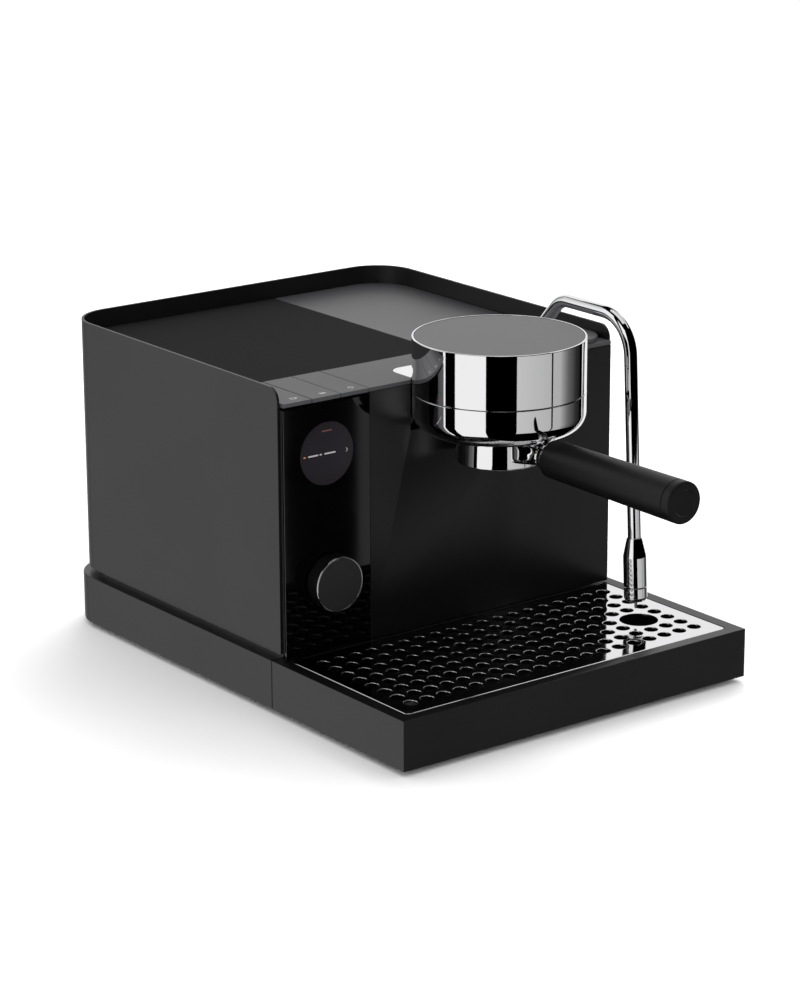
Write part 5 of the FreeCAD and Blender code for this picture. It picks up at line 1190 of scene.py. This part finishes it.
# %% Floor
def paper(name, shade):
    surface = Finish(name, Specular_IOR_Level=0.0)
    fibre = surface.noise(60.0, detail=5.0)
    surface.set("Base Color", surface.mix(fibre, (shade * 0.99,) * 3, (shade,) * 3))
    surface.set("Roughness", 0.85 + fibre * 0.1)
    return surface.material


def stage_mesh(name, verts, faces, material):
    mesh = bpy.data.meshes.new(name)
    mesh.from_pydata(verts, [], faces)
    mesh.materials.append(material)
    stood = working_object(name, mesh)
    return stood


floor = stage_mesh("floor", [(-30, -30, 0), (30, -30, 0), (30, 30, 0), (-30, 30, 0)], [(0, 1, 2, 3)],
                   paper("floor_paper", 0.97))
floor.visible_glossy = False
print("floor laid")


# %% Cards that only reflections see
def card_finish():
    card = Finish("card_white", Base_Color=(0.0, 0.0, 0.0), Specular_IOR_Level=0.0, Emission_Strength=1.0)
    shade = card.node("ShaderNodeAttribute", {"attribute_name": "shade"}, output="Fac")
    cloud = card.noise(1.2)
    card.set("Emission Color", card.mix((shade * (cloud * 0.06 + 0.97)).clamped(), (0, 0, 0), (1, 1, 1)))
    return card.material


card_white = card_finish()


def only_reflected(card, shades):
    mesh_shades = card.data.attributes.new("shade", "FLOAT", "POINT")
    mesh_shades.data.foreach_set("value", shades)
    card.visible_camera = False
    card.visible_diffuse = False
    card.visible_shadow = False
    card.visible_transmission = False
    return card


def curved_card(name, stops, radius=3.0, low=-3.0, high=3.0):
    """An upright sheet on a circle round the group head; stops are (azimuth, shade) pairs."""
    verts, shades = [], []
    for (start, first), (end, second) in zip(stops, stops[1:]):
        steps = max(1, round((end - start) / 4))
        for step in range(steps + 1):
            turn = math.radians(start + (end - start) * step / steps)
            x, y = HEAD.x + radius * math.sin(turn), HEAD.y - radius * math.cos(turn)
            verts += [(x, y, low), (x, y, high)]
            shades += [first + (second - first) * step / steps] * 2
    faces = [(i, i + 2, i + 3, i + 1) for i in range(0, len(verts) - 2, 2)]
    return only_reflected(stage_mesh(name, verts, faces, card_white), shades)


def flat_card(name, corners, shade=1.0):
    return only_reflected(stage_mesh(name, corners, [(0, 1, 2, 3)], card_white), [shade] * 4)


curved_card("card_left_rear", [(-172, 0.25), (-150, 0.75), (-136, 1.0), (-113, 1.0)])
curved_card("card_left_front", [(-98, 1.0), (-56, 1.0)])
curved_card("card_front", [(-16, 0.62), (15, 0.55), (32.8, 0.51)], low=-1.3, high=-0.35)
curved_card("card_front_right", [(35.3, 0.50), (47, 0.48), (54, 0.30), (62, 0.15), (70, 0.09), (80, 0.03),
                                 (91, 0.013)], low=-1.3, high=-0.35)
curved_card("card_right", [(99, 0.85), (104, 1.0), (180, 1.0)])
flat_card("card_overhead", [(-0.6, -0.9, 2.4), (1.2, -0.9, 2.4), (1.2, 0.9, 2.4), (-0.6, 0.9, 2.4)], 0.8)
flat_card("card_high_right", [(1.5, -1.3, 2.4), (2.4, -1.3, 2.4), (2.4, 0.8, 2.4), (1.5, 0.8, 2.4)], 1.0)
flat_card("card_high_rear", [(-2.4, 2.6, 2.4), (-0.4, 2.6, 2.4), (-0.4, 4.2, 2.4), (-2.4, 4.2, 2.4)], 1.0)


# %% Lamps
def soft_lamp(name, place, target, width, height, power):
    light = bpy.data.lights.new(name, "AREA")
    light.shape = "RECTANGLE"
    light.size, light.size_y = width, height
    light.energy = power
    lamp = bpy.data.objects.new(name, light)
    bpy.context.scene.collection.objects.link(lamp)
    away = (Vector(place) - Vector(target)).to_track_quat("Z", "Y").to_matrix().to_4x4()
    lamp.matrix_world = Matrix.Translation(place) @ away
    lamp.visible_glossy = False
    return lamp


middle = (0, 0.05, 0.12)
soft_lamp("key_light", (1.3, 0.9, 2.1), middle, 1.6, 1.6, 36)

# %% World
world = bpy.data.worlds.new("room")
bpy.context.scene.world = world
world.use_nodes = True
backdrop = world.node_tree.nodes["Background"]
backdrop.inputs["Color"].default_value = (1.0, 1.0, 1.0, 1.0)
backdrop.inputs["Strength"].default_value = 1.12
world.cycles_visibility.glossy = False
bpy.context.scene.view_settings.view_transform = "Standard"

# %% Camera
camera_data = bpy.data.cameras.new("camera")
camera_data.lens = 115.88
camera_data.sensor_width = 36.0
camera = bpy.data.objects.new("camera", camera_data)
bpy.context.scene.collection.objects.link(camera)
bpy.context.scene.camera = camera
azimuth, elevation, roll = (math.radians(a) for a in (-37.195, 16.754, -0.203))
back = Vector((math.sin(azimuth) * math.cos(elevation), -math.cos(azimuth) * math.cos(elevation),
               math.sin(elevation)))
right = (-back).cross(Vector((0, 0, 1))).normalized()
up = right.cross(-back)
turned_right = right * math.cos(roll) + up * math.sin(roll)
turned_up = up * math.cos(roll) - right * math.sin(roll)
camera.matrix_world = Matrix.Translation((-1.4165, -1.8286, 0.8256)) @ Matrix(
    (turned_right, turned_up, back)).transposed().to_4x4()
print("camera", [round(v, 3) for v in camera.location])
